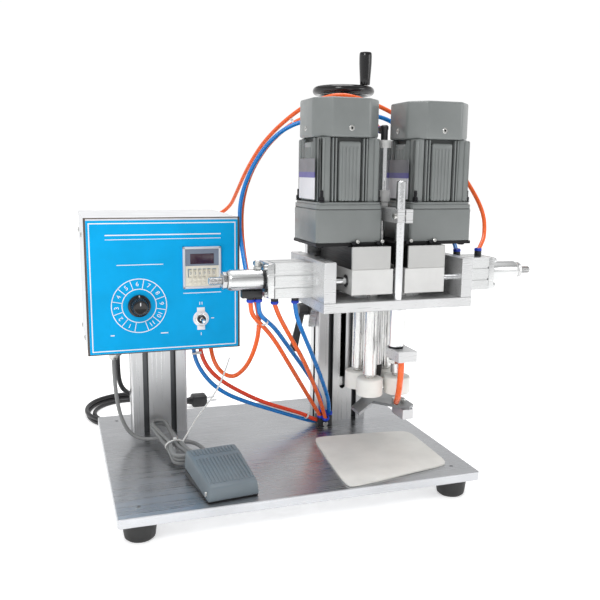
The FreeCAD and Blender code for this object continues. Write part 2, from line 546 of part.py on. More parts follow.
def carriage_screws():
    bolt = (HEAD_X + NECK_BOLT[0], HEAD_Y + 9.0 + NECK_BOLT[1])
    hanger = [cap_screw((HEAD_X + x, COLUMN_FRONT - 24, NECK_Z1 + 6), -Z_AXIS, 4.5, 4.0, 2.5, 10)
              for x in (18, 32)]
    neck = cap_screw((*bolt, NECK_Z1), -Z_AXIS, 5.0, 5.0, 3.0, 12)
    clamp = cap_screw((HEAD_X - 10.5, POST_Y - 10.5, ARM_Z0 + 8.5), X_AXIS, 4.0, 4.0, 2.5, 18)
    socket = cut(rod(6.0, (*HOSE_END, NECK_Z1), 8.0), cord(NECK_HOSE, HOSE_R))
    return group(*hanger, neck, clamp, socket)


# ---- sliders: blocks, motor and piston (left side; the right is mirrored) ----
def drive_x():
    return HEAD_X - DRIVE_DX


def roller_x():
    return HEAD_X - ROLLER_DX


def lower_block():
    """Block with the roller bearings and the guide bushings pressed in."""
    x0, x1 = HEAD_X - BLOCK_OUT, HEAD_X - LOWER_IN
    block = box(x0, x1, HEAD_Y - BLOCK_DY, HEAD_Y + BLOCK_DY, LOWER_Z0, LOWER_Z1)
    block = block.makeChamfer(0.6, [e for e in block.Edges])
    tools, inserts = [], []
    for sy in (-1, 1):
        y = HEAD_Y + sy * ROLLER_DY
        tools.append(rod(10.5, (roller_x(), y, LOWER_Z0 - 1), 40))
        for z in (LOWER_Z0 + 1, LOWER_Z0 + 17):
            inserts.append(ring(10.5, SPINDLE_R + RUN, (roller_x(), y, z), 5.0))
        g = HEAD_Y + sy * GUIDE_DY
        tools.append(rod(9.5, (x0 - 1, g, AIR_Z), 30, X_AXIS))
        tools.append(rod(GUIDE_R + 0.5, (x0, g, AIR_Z), 70, X_AXIS))
        inserts.append(ring(9.5, GUIDE_R + RUN, (x0 + 0.5, g, AIR_Z), 28, X_AXIS))
    tools.append(rod(ROD_R, (x0 - 1, HEAD_Y, AIR_Z), 15, X_AXIS))
    tools += gear_pockets(GEAR_Z0 - 0.5, LOWER_Z1 + 1)
    return group(cut(block, *tools), *inserts)


def gear_pockets(z0, z1):
    """Clearance round the drive pinion and both roller gears of the left side."""
    pockets = [rod(MODULE * (PINION_TEETH / 2 + 1) + 0.8, (drive_x(), HEAD_Y, z0), z1 - z0)]
    for sy in (-1, 1):
        pockets.append(rod(MODULE * (ROLLER_TEETH / 2 + 1) + 0.8,
                           (roller_x(), HEAD_Y + sy * ROLLER_DY, z0), z1 - z0))
    return pockets


def upper_block():
    """Bearing block above the gears, and the motor's mounting plate on top of it."""
    x0, x1 = HEAD_X - BLOCK_OUT, HEAD_X - UPPER_IN
    block = box(x0, x1, HEAD_Y - BLOCK_DY, HEAD_Y + BLOCK_DY, LOWER_Z1, UPPER_Z1)
    block = block.makeChamfer(0.6, [e for e in block.Edges])
    tools = [rod(10.5, (drive_x(), HEAD_Y, LOWER_Z1 - 1), UPPER_Z1 - LOWER_Z1 + 2)]
    bearings = [ring(10.5, 5.0 + RUN, (drive_x(), HEAD_Y, z), 6.0)
                for z in (LOWER_Z1 + 1, UPPER_Z1 - 8)]
    for sy in (-1, 1):
        y = HEAD_Y + sy * ROLLER_DY
        tools.append(rod(6.5, (roller_x(), y, LOWER_Z1 - 1), 8.0))
        bearings.append(ring(6.5, PIVOT_R + RUN, (roller_x(), y, LOWER_Z1 + 1), 5.0))
    plate = box(HEAD_X - MOTOR_DX - MOTOR_HALF, HEAD_X - MOTOR_DX + MOTOR_HALF,
                HEAD_Y - MOTOR_HALF, HEAD_Y + MOTOR_HALF, UPPER_Z1, GEARBOX_Z0)
    plate = cut(plate, rod(10.5, (drive_x(), HEAD_Y, UPPER_Z1 - 1), 10))
    return group(cut(block, *tools), *bearings, plate)


def gearbox():
    """Gearhead casing with an eccentric shaft hole, and the motor flange above it."""
    cx = HEAD_X - MOTOR_DX
    case = rounded_plate(cx - MOTOR_HALF, cx + MOTOR_HALF, HEAD_Y - MOTOR_HALF,
                         HEAD_Y + MOTOR_HALF, GEARBOX_Z0, GEARBOX_Z1, 2.0)
    cavity = box(cx - 37, cx + 37, HEAD_Y - 37, HEAD_Y + 37, GEARBOX_Z0 + 8, GEARBOX_Z1 + 1)
    case = cut(case, cavity, rod(5.5, (drive_x(), HEAD_Y, GEARBOX_Z0 - 1), 12))
    flange = rounded_plate(cx - MOTOR_HALF, cx + MOTOR_HALF, HEAD_Y - MOTOR_HALF,
                           HEAD_Y + MOTOR_HALF, GEARBOX_Z1, FLANGE_Z1, 2.0)
    return group(case, cut(flange, rod(8.0, (cx, HEAD_Y, GEARBOX_Z1 - 1), 12)))


def motor():
    """Finned motor frame round its stator, with the eight-sided fan cover on top."""
    cx, half, c = HEAD_X - MOTOR_DX, 42.0, 9.0
    frame = rounded_plate(cx - half, cx + half, HEAD_Y - half, HEAD_Y + half,
                          FLANGE_Z1, FRAME_Z1, c)
    grooves = []
    for side in range(4):
        for offset in (-27, -22, -17, 17, 22, 27):
            g = box(cx + offset - 1.2, cx + offset + 1.2, HEAD_Y - half - 1, HEAD_Y - half + 5,
                    FLANGE_Z1 + 6, FRAME_Z1 - 6)
            g.rotate(V(cx, HEAD_Y, 0), Z_AXIS, 90 * side)
            grooves.append(g)
    frame = cut(frame, *grooves, rod(33.0, (cx, HEAD_Y, FLANGE_Z1 + 5), 80))
    stator = ring(33.0, 16.0, (cx, HEAD_Y, FLANGE_Z1 + 12), 56.0)
    h, k = MOTOR_HALF, 25.0
    octagon = [(cx - h, HEAD_Y - k), (cx - k, HEAD_Y - h), (cx + k, HEAD_Y - h),
               (cx + h, HEAD_Y - k), (cx + h, HEAD_Y + k), (cx + k, HEAD_Y + h),
               (cx - k, HEAD_Y + h), (cx - h, HEAD_Y + k)]
    cover = prism(octagon, FRAME_Z1, COVER_Z1)
    top = [e for e in cover.Edges if e.BoundBox.ZMin > COVER_Z1 - 1e-6]
    cover = cover.makeFillet(4.0, top)
    hollow = rod(40.0, (cx, HEAD_Y, FRAME_Z1 - 1), COVER_Z1 - FRAME_Z1 - 2)
    return group(frame, stator, cut(cover, hollow))


def piston():
    """Piston, rod and tail of one side cylinder in a single turned part, and its nuts."""
    x1 = HEAD_X - HEAD_HALF
    rod_end = HEAD_X - BLOCK_OUT + 14
    shaft = rod(ROD_R, (x1 - 20, HEAD_Y, AIR_Z), rod_end - x1 + 20, X_AXIS)
    head = rod(PISTON_R - RUN, (x1 - 24, HEAD_Y, AIR_Z), 12, X_AXIS)
    tail = rod(TAIL_R, (x1 - TAIL_END, HEAD_Y, AIR_Z), TAIL_END - 20, X_AXIS)
    nut = hex_nut(17.0, TAIL_R, (x1 - BARREL_END - 6.5, HEAD_Y, AIR_Z), 6.0, X_AXIS)
    return group(fuse(shaft, head, tail), nut)


# ---- gears and rollers --------------------------------------------------
def tooth_half_angle(radius, teeth):
    """Half the angle that one tooth takes up at this radius, with backlash taken off."""
    pitch_r, alpha = teeth * MODULE / 2, math.radians(20)
    base_r = pitch_r * math.cos(alpha)
    at_pitch = (math.pi * MODULE / 2 - BACKLASH) / (2 * pitch_r)
    pressure = math.acos(min(1.0, base_r / max(radius, base_r)))
    involute = (math.tan(pressure) - pressure) - (math.tan(alpha) - alpha)
    return at_pitch - involute


def gear(teeth, x, y, phase, bore):
    pitch_r = teeth * MODULE / 2
    root, base_r = pitch_r - 1.25 * MODULE, pitch_r * math.cos(math.radians(20))
    flank = [root] + [max(base_r, root) + (pitch_r + MODULE - max(base_r, root)) * i / 4
                      for i in range(1, 5)]
    points = []
    for i in range(teeth):
        middle = phase + 2 * math.pi * i / teeth
        sides = [(r, -tooth_half_angle(r, teeth)) for r in flank]
        sides += [(r, tooth_half_angle(r, teeth)) for r in reversed(flank)]
        points += [(x + r * math.cos(middle + a), y + r * math.sin(middle + a))
                   for r, a in sides]
    return cut(prism(points, GEAR_Z0, GEAR_Z0 + GEAR_H), rod(bore, (x, y, GEAR_Z0), GEAR_H))


def mesh_phase(direction):
    """Tooth angle of a roller gear that meshes with the pinion's tooth at angle zero."""
    return direction + math.pi - (-direction * PINION_TEETH + math.pi) / ROLLER_TEETH


def drive_pinion():
    """Output shaft of the gearhead with the pinion on its lower end."""
    x = drive_x()
    shaft = rod(5.0, (x, HEAD_Y, GEAR_Z0), GEARBOX_Z0 + 16 - GEAR_Z0)
    wheel = rod(12.0, (x, HEAD_Y, GEARBOX_Z0 + 10), 6.0)
    return group(gear(PINION_TEETH, x, HEAD_Y, 0.0, 5.0), fuse(shaft, wheel))


def roller_spindle(sy):
    """Turned spindle: thick sleeve under the block, journal above it, gear on top."""
    x, y = roller_x(), HEAD_Y + sy * ROLLER_DY
    direction = math.atan2(sy * ROLLER_DY, DRIVE_DX - ROLLER_DX)
    sleeve = rod(SLEEVE_R, (x, y, SLEEVE_Z0), LOWER_Z0 - 0.5 - SLEEVE_Z0)
    sleeve = sleeve.makeChamfer(1.0, [e for e in sleeve.Edges if e.BoundBox.ZMax < SLEEVE_Z0 + 1])
    journal = rod(SPINDLE_R, (x, y, LOWER_Z0 - 2), GEAR_Z0 + GEAR_H - LOWER_Z0 + 2)
    pivot = rod(PIVOT_R, (x, y, GEAR_Z0 + GEAR_H - 1), 8.0)
    nose = rod(4.0, (x, y, WHEEL_Z0 + 3), SLEEVE_Z0 - WHEEL_Z0 - 2)
    nut = hex_nut(11.0, 4.0, (x, y, WHEEL_Z1), SLEEVE_Z0 - WHEEL_Z1)
    wheel_gear = gear(ROLLER_TEETH, x, y, mesh_phase(direction), SPINDLE_R)
    return group(fuse(sleeve, journal, nose, pivot), nut, wheel_gear)


def roller_wheel(sy):
    x, y = roller_x(), HEAD_Y + sy * ROLLER_DY
    wheel = rod(WHEEL_R, (x, y, WHEEL_Z0), WHEEL_Z1 - WHEEL_Z0)
    rims = [e for e in wheel.Edges if abs(e.BoundBox.ZMax - e.BoundBox.ZMin) < 1e-6]
    wheel = wheel.makeChamfer(1.5, rims)
    return cut(wheel, rod(4.0, (x, y, WHEEL_Z0 + 3), 40), rod(9.0, (x, y, WHEEL_Z0 - 1), 3.0))


# ---- press plunger and carriage clamp -----------------------------------
def press_plunger():
    """Piston rod with the soft pressing tip."""
    stem = rod(PLUNGER_R - 1.5, (HEAD_X, HEAD_Y, 340.0), 70.0)
    head = rod(7.0 - RUN, (HEAD_X, HEAD_Y, 432.0), 10.0)
    link = rod(PLUNGER_R - 1.5, (HEAD_X, HEAD_Y, 409.0), 24.0)
    shaft = rod(PLUNGER_R, (HEAD_X, HEAD_Y, PLUNGER_TIP + 6), 199.0)
    tip = Part.makeCone(4.6, 6.3, 17.0, V(HEAD_X, HEAD_Y, PLUNGER_TIP))
    tip = cut(tip, rod(PLUNGER_R, (HEAD_X, HEAD_Y, PLUNGER_TIP + 6), 20))
    return group(fuse(stem, head, link, shaft), tip)


def clamp_lever():
    x1 = HEAD_X - 52.5
    hub = fuse(Part.makeCone(10.0, 8.5, 14.0, V(x1, SCREW_Y, CLAMP_Z), -X_AXIS),
               rod(4.0, (x1 - 1, SCREW_Y, CLAMP_Z), 13.0, X_AXIS))
    start = V(x1 - 8, SCREW_Y, CLAMP_Z)
    along = V(-0.2, 0.06, -1.0).normalize()
    arm = Part.makeCone(5.0, 6.5, 62.0, start, along)
    knob = Part.makeSphere(6.5, start + along * 62.0)
    return fuse(hub, arm, knob)


# ---- foot pedal ---------------------------------------------------------
PEDAL_X, PEDAL_Y, PEDAL_YAW = -100.5, -124.5, 6.0
PEDAL_BACK_HALF, PEDAL_FRONT_HALF, PEDAL_HALF_L = 36.0, 32.5, 46.0
PEDAL_BACK_H, PEDAL_CREASE_H, PEDAL_FRONT_H = 34.0, 32.0, 20.0
PEDAL_CREASE = 22.0                          # distance of the crease behind the centre
PEDAL_PIVOT = (37.0, 9.0)                    # distance in front of the centre, height


def to_pedal(shape):
    shape = shape.copy()
    shape.rotate(V(0, 0, 0), Z_AXIS, PEDAL_YAW)
    shape.translate(V(PEDAL_X, PEDAL_Y, DECK))
    return shape


def pedal_outline(inset):
    b, f, h = PEDAL_BACK_HALF - inset, PEDAL_FRONT_HALF - inset, PEDAL_HALF_L - inset
    return [(-f, -h), (f, -h), (b, h), (-b, h)]


def pedal_wedge(z0, inset, lowered):
    """Side profile of the treadle, high at the back, drawn out across its width."""
    h = PEDAL_HALF_L - inset
    side = [(-h, z0), (h, z0), (h, PEDAL_BACK_H - lowered), (PEDAL_CREASE, PEDAL_CREASE_H - lowered),
            (-h, PEDAL_FRONT_H - lowered)]
    wire = Part.makePolygon([V(-60, y, z) for y, z in side + side[:1]])
    return Part.Face(wire).extrude(V(120, 0, 0))


def pedal_base():
    """Tray inside the treadle's skirt, with the pivot post, the switch and the cord grip."""
    tray = prism(pedal_outline(4.5), 0.0, 5.0)
    post = box(-20, 20, -PEDAL_PIVOT[0] - 4, -PEDAL_PIVOT[0] + 5, 4.0, 13.0)
    post = cut(post, rod(2.5, (-30, -PEDAL_PIVOT[0], PEDAL_PIVOT[1]), 60, X_AXIS))
    switch = box(-10, 10, 0.0, 24.0, 5.0, 14.0)
    heel = box(-10, 10, PEDAL_HALF_L - 14, PEDAL_HALF_L + 1, 4.0, 13.0)
    return cut(to_pedal(group(fuse(tray, post, heel), switch)), cord(PEDAL_TAIL, CORD_R))


def pedal_cover():
    """Ribbed treadle: hollow below, hinged on a pin near its front edge."""
    shell = prism(pedal_outline(0.0), 6.0, 40.0).common(pedal_wedge(5.0, 0.0, 0.0))
    hollow = prism(pedal_outline(3.5), 5.0, 40.0).common(pedal_wedge(4.0, 3.5, 3.5))
    gate = box(-12.0, 12.0, PEDAL_HALF_L - 8, PEDAL_HALF_L + 2, 5.0, 19.0)
    ears = [box(a, b, -PEDAL_PIVOT[0] - 5, -PEDAL_PIVOT[0] + 5, 5.5, 16.0)
            for a, b in ((-28.0, -22.0), (22.0, 28.0))]
    body = fuse(cut(shell, hollow, gate), *ears)
    hole = rod(2.5 - RUN, (-40, -PEDAL_PIVOT[0], PEDAL_PIVOT[1]), 80, X_AXIS)
    pin = rod(2.5 - RUN, (-33.5, -PEDAL_PIVOT[0], PEDAL_PIVOT[1]), 67, X_AXIS)
    return to_pedal(group(cut(body, hole), pin))


# ---- cords, tubes and what hangs on them --------------------------------
CORD_R, MAINS_R, TUBE_R, HOSE_R = 2.75, 3.5, 3.0, 4.0

# Routes by hand: each list is a cord's or tube's corner points, from its first end to its last.
PEDAL_CORD = [(-213.5, 62.5, 163), (-213.5, 62.5, 138), (-211.5, 62.5, 105), (-206, 62, 72),
              (-194, 60, 48), (-177, 51, 42), (-164, 37, 46), (-155, 24, 52)]
PEDAL_TAIL = [(-137, 3, 49), (-124, 13, 47), (-111, 12, 44), (-103, 1, 41.5), (-99, -16, 40.2),
              (-98.5, -38, 40.2), (-102, -60, 42), (-105, -79, 45.4)]
MAINS_A = [(-206.5, 84.5, 163), (-206.5, 84.5, 143), (-205, 94, 121), (-199, 111, 102),
           (-187, 130, 87), (-173, 155, 74), (-164, 182, 60), (-159, 206, 42), (-154, 228, 26),
           (-147, 247, 18.4), (-137, 262, 11), (-125, 275, 5.6), (-116, 291, 3.8)]
MAINS_B = [(-107, 250, 18.2), (-102, 266, 18.2), (-98.5, 282, 18), (-94, 295, 15.5),
           (-86, 301.5, 12.6), (-77, 302, 12)]
MAINS_COIL, COIL_OUT, COIL_IN, COIL_H = (-172.0, 300.0), (77.0, 86.0), (57.0, 62.0), 14.5
HANK_CENTRE, HANK_ENDS = (-147.0, 8.5, 54.5), (20.0, -127.0, -15.0)
PLUG = (-81.0, 302.0, 12.0)
NECK_HOSE = [(134, -139.5, 191), (134, -139.5, 167), (136, -132, 145), (142, -117, 127),
             (150, -98, 115.5), (157, -82, 108)]
OUTER_ORANGE_ARC = [(-70, 216, 335), (-69, 238, 335), (-55, 258, 338), (-28, 262, 344),
                    (-4, 240, 362), (0, 205, 389), (6, 160, 428), (22, 110, 472), (56, 62, 511),
                    (84, 42, 526), (110, 27, 532), (146, 15, 522), (184, 6, 505), (226, -1, 478),
                    (266, -6, 446), (297, -14, 408), (313, -33, 366), (303, -53, 334),
                    (290, -64, 322), (283.5, -68.5, 315)]
LOOP_ORANGE = [(-76, 58, 178), (-76.5, 53, 160), (-68, 37, 138), (-54, 15, 133), (-42.6, -6, 149),
               (-36, -25, 172), (-32, -40, 199), (-32, -50, 224), (-34, -47, 248),
               (-38, -32, 270), (-37, -5, 286), (-33.5, 26, 308), (-31, 50, 340), (-26, 67, 378),
               (-13, 72, 419), (10, 71, 457), (36, 66, 483), (62, 55, 500), (92, 33, 508),
               (117, 6, 507), (133, -18, 497), (135, -40, 485), (133, -55, 479)]
INNER_BLUE_ARC = [(-44, -57, 267), (-44, -46, 268), (-42, -28, 276), (-38, 0, 291),
                  (-36, 28, 316), (-35, 48, 345), (-30.5, 57, 387), (-14, 57, 429),
                  (10, 52, 465), (38, 42, 488), (76, 26, 498), (118, 12, 500), (157, 4, 503),
                  (190, -6, 485), (222, -13, 452), (238, -15, 412), (246, -16, 372),
                  (257, -28, 342), (257, -50, 324), (249.5, -68.5, 313)]
OUTER_ORANGE_DOWN = [(-49, -68.5, 258), (-48.5, -68.2, 246), (-43.5, -64.5, 236.5),
                     (-33, -57, 226), (-10, -43, 201), (20, -20, 156), (50, 6, 112),
                     (75, 30, 76), (86, 38.5, 60), (90.5, 41.5, 52)]
INNER_ORANGE_DOWN = [(-16.5, -68.5, 253), (-13, -67.5, 243), (-3, -61, 225), (16, -47, 196),
                     (42, -23, 158), (66, 3, 115), (86, 26, 78), (95, 37, 57), (98.5, 40.5, 47)]
INNER_BLUE_DOWN = [(11.5, -68.5, 253), (13, -67, 241), (20, -61, 223), (35, -46, 197),
                   (58, -20, 158), (80, 6, 119), (96, 26, 88), (103, 38, 68), (106, 46.5, 56)]
OUTER_BLUE_DOWN = [(-38.5, -68.5, 258), (-38, -68.2, 246), (-33.5, -64.7, 236.8),
                   (-24.5, -57.3, 229), (-8, -43.5, 214.5), (14, -25, 187), (42, -3, 152),
                   (66, 17, 121), (84, 34, 94), (94, 48, 76), (98, 53.5, 57)]
BOX_RED = [(-92, 56, 178), (-91.6, 55, 163), (-82, 52, 140), (-64, 48, 121), (-35, 45, 102),
           (-1.6, 43, 84), (34.4, 43, 70), (62, 45, 59), (77, 46.5, 50), (86.5, 47, 46)]
BOX_BLUE = [(-101.5, 57, 178), (-101, 56, 160), (-93, 53, 139), (-78, 48, 118), (-57, 45, 101),
            (-30, 43, 88), (-1, 43, 76), (34, 44.5, 62), (62, 50, 50), (78, 53, 43.5),
            (86.5, 53.5, 42)]
TUBE_ROUTES = [OUTER_ORANGE_ARC, LOOP_ORANGE, INNER_BLUE_ARC, OUTER_ORANGE_DOWN,
               INNER_ORANGE_DOWN, INNER_BLUE_DOWN, OUTER_BLUE_DOWN, BOX_RED, BOX_BLUE]


reported = []                                # routes whose length is already printed


def cord(points, radius):
    """Round cord along straight runs joined by tangent arcs; also gives its tightest bend."""
    pts = [V(*p) for p in points]
    edges, start, tightest = [], pts[0], 1e9
    for a, b, c in zip(pts, pts[1:], pts[2:]):
        along, onward = (b - a).normalize(), (c - b).normalize()
        half_turn = along.getAngle(onward) / 2
        setback = 0.45 * min((b - a).Length, (c - b).Length)
        bend = setback / math.tan(half_turn)
        tightest = min(tightest, bend)
        inward = (onward - along).normalize()
        middle = b + inward * (bend / math.cos(half_turn) - bend)
        enter, leave = b - along * setback, b + onward * setback
        edges.append(Part.LineSegment(start, enter).toShape())
        edges.append(Part.Arc(enter, middle, leave).toShape())
        start = leave
    edges.append(Part.LineSegment(start, pts[-1]).toShape())
    wire = Part.Wire(edges)
    section = Part.Wire(Part.makeCircle(radius, pts[0], pts[1] - pts[0]))
    solid = wire.makePipeShell([section], True, False)
    if points not in reported:
        reported.append(points)
        print("cord of %.0f mm, tightest bend %.0f mm, volume ratio %.3f"
              % (wire.Length, tightest, solid.Volume / (wire.Length * math.pi * radius ** 2)))
    return solid


def air_tubes():
    return group(*[cord(points, TUBE_R) for points in TUBE_ROUTES])


def oval(half_x, half_y, x, y, z0, height):
    """Upright oval block, longer along Y than along X."""
    curve = Part.Ellipse(V(x, y + half_y, z0), V(x + half_x, y, z0), V(x, y, z0))
    return Part.Face(Part.Wire(curve.toShape())).extrude(V(0, 0, height))


def mains_coil():
    """Loose oval coil of spare mains cord, modelled as one closed ring."""
    x, y = MAINS_COIL
    return cut(oval(*COIL_OUT, x, y, 0.1, COIL_H - 0.1), oval(*COIL_IN, x, y, 0.0, COIL_H + 1),
               cord(MAINS_A, MAINS_R), cord(MAINS_B, MAINS_R))


def pedal_hank():
    """Folded spare length of the pedal cord, modelled as one closed bundle."""
    along = V(*HANK_ENDS)
    half = along.Length / 2
    hank = rounded_plate(-half, half, -13.0, 13.0, -7.0, 7.0, 10.0)
    rims = [e for e in hank.Edges if abs(e.BoundBox.ZMax - e.BoundBox.ZMin) < 1e-6]
    hank = hank.makeFillet(5.0, rims)
    hank.rotate(V(0, 0, 0), Y_AXIS, math.degrees(math.asin(-along.z / along.Length)))
    hank.rotate(V(0, 0, 0), Z_AXIS, math.degrees(math.atan2(along.y, along.x)))
    hank.translate(V(*HANK_CENTRE))
    return cut(hank, cord(PEDAL_CORD, CORD_R), cord(PEDAL_TAIL, CORD_R))


def mains_plug():
    """Two-pin plug lying on the table, with its tapered strain relief."""
    x, y, z = PLUG
    body = rounded_plate(x + 18, x + 46, y - 13, y + 13, z - 11, z + 11, 6.0)
    relief = Part.makeCone(MAINS_R + 1.0, 7.0, 20.0, V(x, y, z), X_AXIS)
    pins = [rod(2.0, (x + 45, y + s * 9.5, z), 19.0, X_AXIS) for s in (-1, 1)]
    return group(cut(fuse(body, relief), cord(MAINS_B, MAINS_R)), *pins)


PARTS = {
    "base_plate": base_plate,
    "rubber_feet": lambda: group(*[rubber_foot(x, y) for x, y in foot_places()]),
    "bottle_mat": bottle_mat,
    "main_column": main_column,
    "control_column": control_column,
    "column_top_plate": column_top_plate,
    "screw_bearings": screw_bearings,
    "lead_screw": lead_screw,
    "handwheel": handwheel,
    "handwheel_grip": handwheel_grip,
    "box_shell": box_shell,
    "box_panel": box_panel,
    "timer_case": timer_case,
    "timer_wheels": timer_wheels,
    "dial_knob": dial_knob,
    "box_electronics": box_electronics,
    "toggle_lever": toggle_lever,
    "base_screws": base_screws,
    "glands_and_manifold": glands_and_manifold,
    "head_floor": head_floor,
    "head_walls": lambda: group(left_wall(), mirrored(left_wall())),
    "column_slider": column_slider,
    "lead_nut": lead_nut,
    "carriage_rods": carriage_rods,
    "post_arms": post_arms,
    "air_cylinders": air_cylinders,
    "tube_fittings": tube_fittings,
    "neck_guide": neck_guide,
    "carriage_screws": carriage_screws,
    "press_plunger": press_plunger,
    "clamp_lever": clamp_lever,
    "pedal_base": pedal_base,
    "pedal_cover": pedal_cover,
    "air_tubes": air_tubes,
    "neck_hose": lambda: cord(NECK_HOSE, HOSE_R),
    "pedal_cord": lambda: group(cord(PEDAL_CORD, CORD_R), cord(PEDAL_TAIL, CORD_R)),
    "pedal_hank": pedal_hank,
    "mains_cord": lambda: group(cord(MAINS_A, MAINS_R), cord(MAINS_B, MAINS_R)),
    "mains_coil": mains_coil,
    "mains_plug": mains_plug,
}

SIDE_PARTS = {
    "lower_block": lower_block,
    "upper_block": upper_block,
    "gearbox": gearbox,
    "motor": motor,
    "piston": piston,
    "drive_pinion": drive_pinion,
    "front_spindle": lambda: roller_spindle(-1),
    "rear_spindle": lambda: roller_spindle(1),
    "front_wheel": lambda: roller_wheel(-1),
    "rear_wheel": lambda: roller_wheel(1),
}


def main():
    os.makedirs("parts", exist_ok=True)
    for name, make in PARTS.items():
        save(name, make())
    for name, make in SIDE_PARTS.items():
        left = make()
        save("left_" + name, left)
        save("right_" + name, mirrored(left))


main()
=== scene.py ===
"""Looks of the desktop capping machine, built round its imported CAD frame.

Sizes are in millimetres from the base plate's centre, as in the part's source,
and place() turns them into the frame's metres.
"""
import math

import bmesh
import bpy
from mathutils import Matrix, Vector


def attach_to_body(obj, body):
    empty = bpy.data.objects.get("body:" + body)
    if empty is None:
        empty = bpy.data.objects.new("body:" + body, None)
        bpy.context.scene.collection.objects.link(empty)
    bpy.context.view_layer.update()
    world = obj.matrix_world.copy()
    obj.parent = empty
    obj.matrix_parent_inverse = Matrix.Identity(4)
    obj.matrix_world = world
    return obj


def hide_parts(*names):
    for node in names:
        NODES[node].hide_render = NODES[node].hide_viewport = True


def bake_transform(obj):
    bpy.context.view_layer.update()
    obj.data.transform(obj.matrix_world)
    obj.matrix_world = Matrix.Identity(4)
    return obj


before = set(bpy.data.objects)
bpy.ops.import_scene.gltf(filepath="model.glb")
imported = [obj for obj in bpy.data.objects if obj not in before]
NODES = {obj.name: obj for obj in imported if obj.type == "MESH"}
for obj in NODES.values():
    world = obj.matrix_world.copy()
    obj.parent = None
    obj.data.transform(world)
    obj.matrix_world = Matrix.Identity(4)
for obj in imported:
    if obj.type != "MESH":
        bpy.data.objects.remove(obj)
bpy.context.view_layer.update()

X, Y, Z = Vector((1, 0, 0)), Vector((0, 1, 0)), Vector((0, 0, 1))
ORIGIN = Vector((59.5, 16.5, 0.0))

# Places shared with the part's source.
DECK = 37.0                                         # top of the base plate
HEAD_X, HEAD_Y, HEAD_HALF = 133.0, -68.5, 104.5     # the head's middle and half its width
COLUMN_FRONT, COLUMN_TOP, SCREW_Y = 60.5, 511.0, 80.5
COLUMN_HALF_X, COLUMN_HALF_Y, CHANNEL_HALF = 40.0, 20.0, 12.5
CONTROL_COLUMN_X, CONTROL_COLUMN_Y = -147.5, 101.5
FOOT_X, FOOT_Y = 205.5, 155.5
MAT_CORNERS = [Vector((45, -182)), Vector((204.5, -151)), Vector((209, -19)), Vector((61.5, -5))]
BOX_X0, BOX_X1, BOX_Y0, BOX_Z0, BOX_Z1 = -248.5, -39.5, 29.5, 175.0, 360.0
DIAL_X, DIAL_Z, DIAL_INNER, DIAL_OUTER = -179.5, 240.8, 23.0, 37.0
TIMER_X, TIMER_Z, DIGIT_PITCH, DIGIT_COUNT = -93.0, 291.0, 6.53, 6
SWITCH_X, SWITCH_Z = -95.0, 218.7
GLANDS = ((-213.5, 62.5, 5.5), (-206.5, 84.5, 6.5))   # x, y and radius
AIR_Z, CYLINDER_HALF = 286.0, 22.5
MOTOR_DX, MOTOR_HALF = 64.5, 45.0
GEARBOX_Z0, GEARBOX_Z1, FLANGE_Z1, FRAME_Z1, COVER_Z1 = 335.0, 377.0, 386.0, 466.0, 514.0
ROLLER_DX, ROLLER_DY, TYRE_Z = 20.5, 20.0, 125.0
WHEEL_RIM_Z, RIM_R, RIM_TUBE, GRIP_ANGLE = 541.0, 39.5, 6.3, -60.0
POST_Y = -123.5
PRESS_Z0, PRESS_Z1 = 385.0, 465.0
PEDAL_AT, PEDAL_YAW = Vector((-100.5, -124.5, DECK)), math.radians(6.0)
SIDES = (("left", -1), ("right", 1))
FACING_FRONT = Matrix.Rotation(math.radians(90), 4, "X")   # stands flat print up, facing the operator


def place(x, y, z):
    """A place in the part's millimetres, as metres in the shared frame."""
    return (Vector((x, y, z)) - ORIGIN) / 1000.0


def turned_to(at, axis, first="Z", second="Y"):
    """Matrix that moves the origin to a place and turns one axis along another."""
    turn = Vector(axis).to_track_quat(first, second).to_matrix().to_4x4()
    return Matrix.Translation(Vector(at)) @ turn


def linked(thing):
    """Puts an object into the scene."""
    bpy.context.scene.collection.objects.link(thing)
    return thing


def attach(piece, body, replaces=()):
    """Rides a piece on a body and hides the CAD nodes it stands for."""
    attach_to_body(piece, body)
    if replaces:
        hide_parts(*replaces)
    return piece


def mesh_piece(name, bm, material, smooth):
    """Object from a finished mesh; edges sharper than the angle in degrees stay sharp."""
    bmesh.ops.recalc_face_normals(bm, faces=bm.faces)
    mesh = bpy.data.meshes.new(name)
    bm.to_mesh(mesh)
    bm.free()
    mesh.polygons.foreach_set("use_smooth", [True] * len(mesh.polygons))
    mesh.set_sharp_from_angle(angle=math.radians(smooth))
    mesh.materials.append(MATS[material])
    return linked(bpy.data.objects.new(name, mesh))


# ---- mesh building ------------------------------------------------------
def circle(radius, steps):
    """Points (x, y) round a circle; one step gives a single point."""
    angles = [2 * math.pi * i / steps for i in range(steps)]
    return [(radius * math.cos(a), radius * math.sin(a)) for a in angles]


def bridge(bm, rows, caps=False):
    """Skins rings of vertices to each other in order; a ring may be a single point."""
    for low, high in zip(rows, rows[1:]):
        for i in range(max(len(low), len(high))):
            corners = [low[i % len(low)], low[(i + 1) % len(low)],
                       high[(i + 1) % len(high)], high[i % len(high)]]
            unique = list(dict.fromkeys(corners))
            if len(unique) > 2:
                bm.faces.new(unique)
    if caps:
        bm.faces.new(rows[0][::-1])
        bm.faces.new(rows[-1])


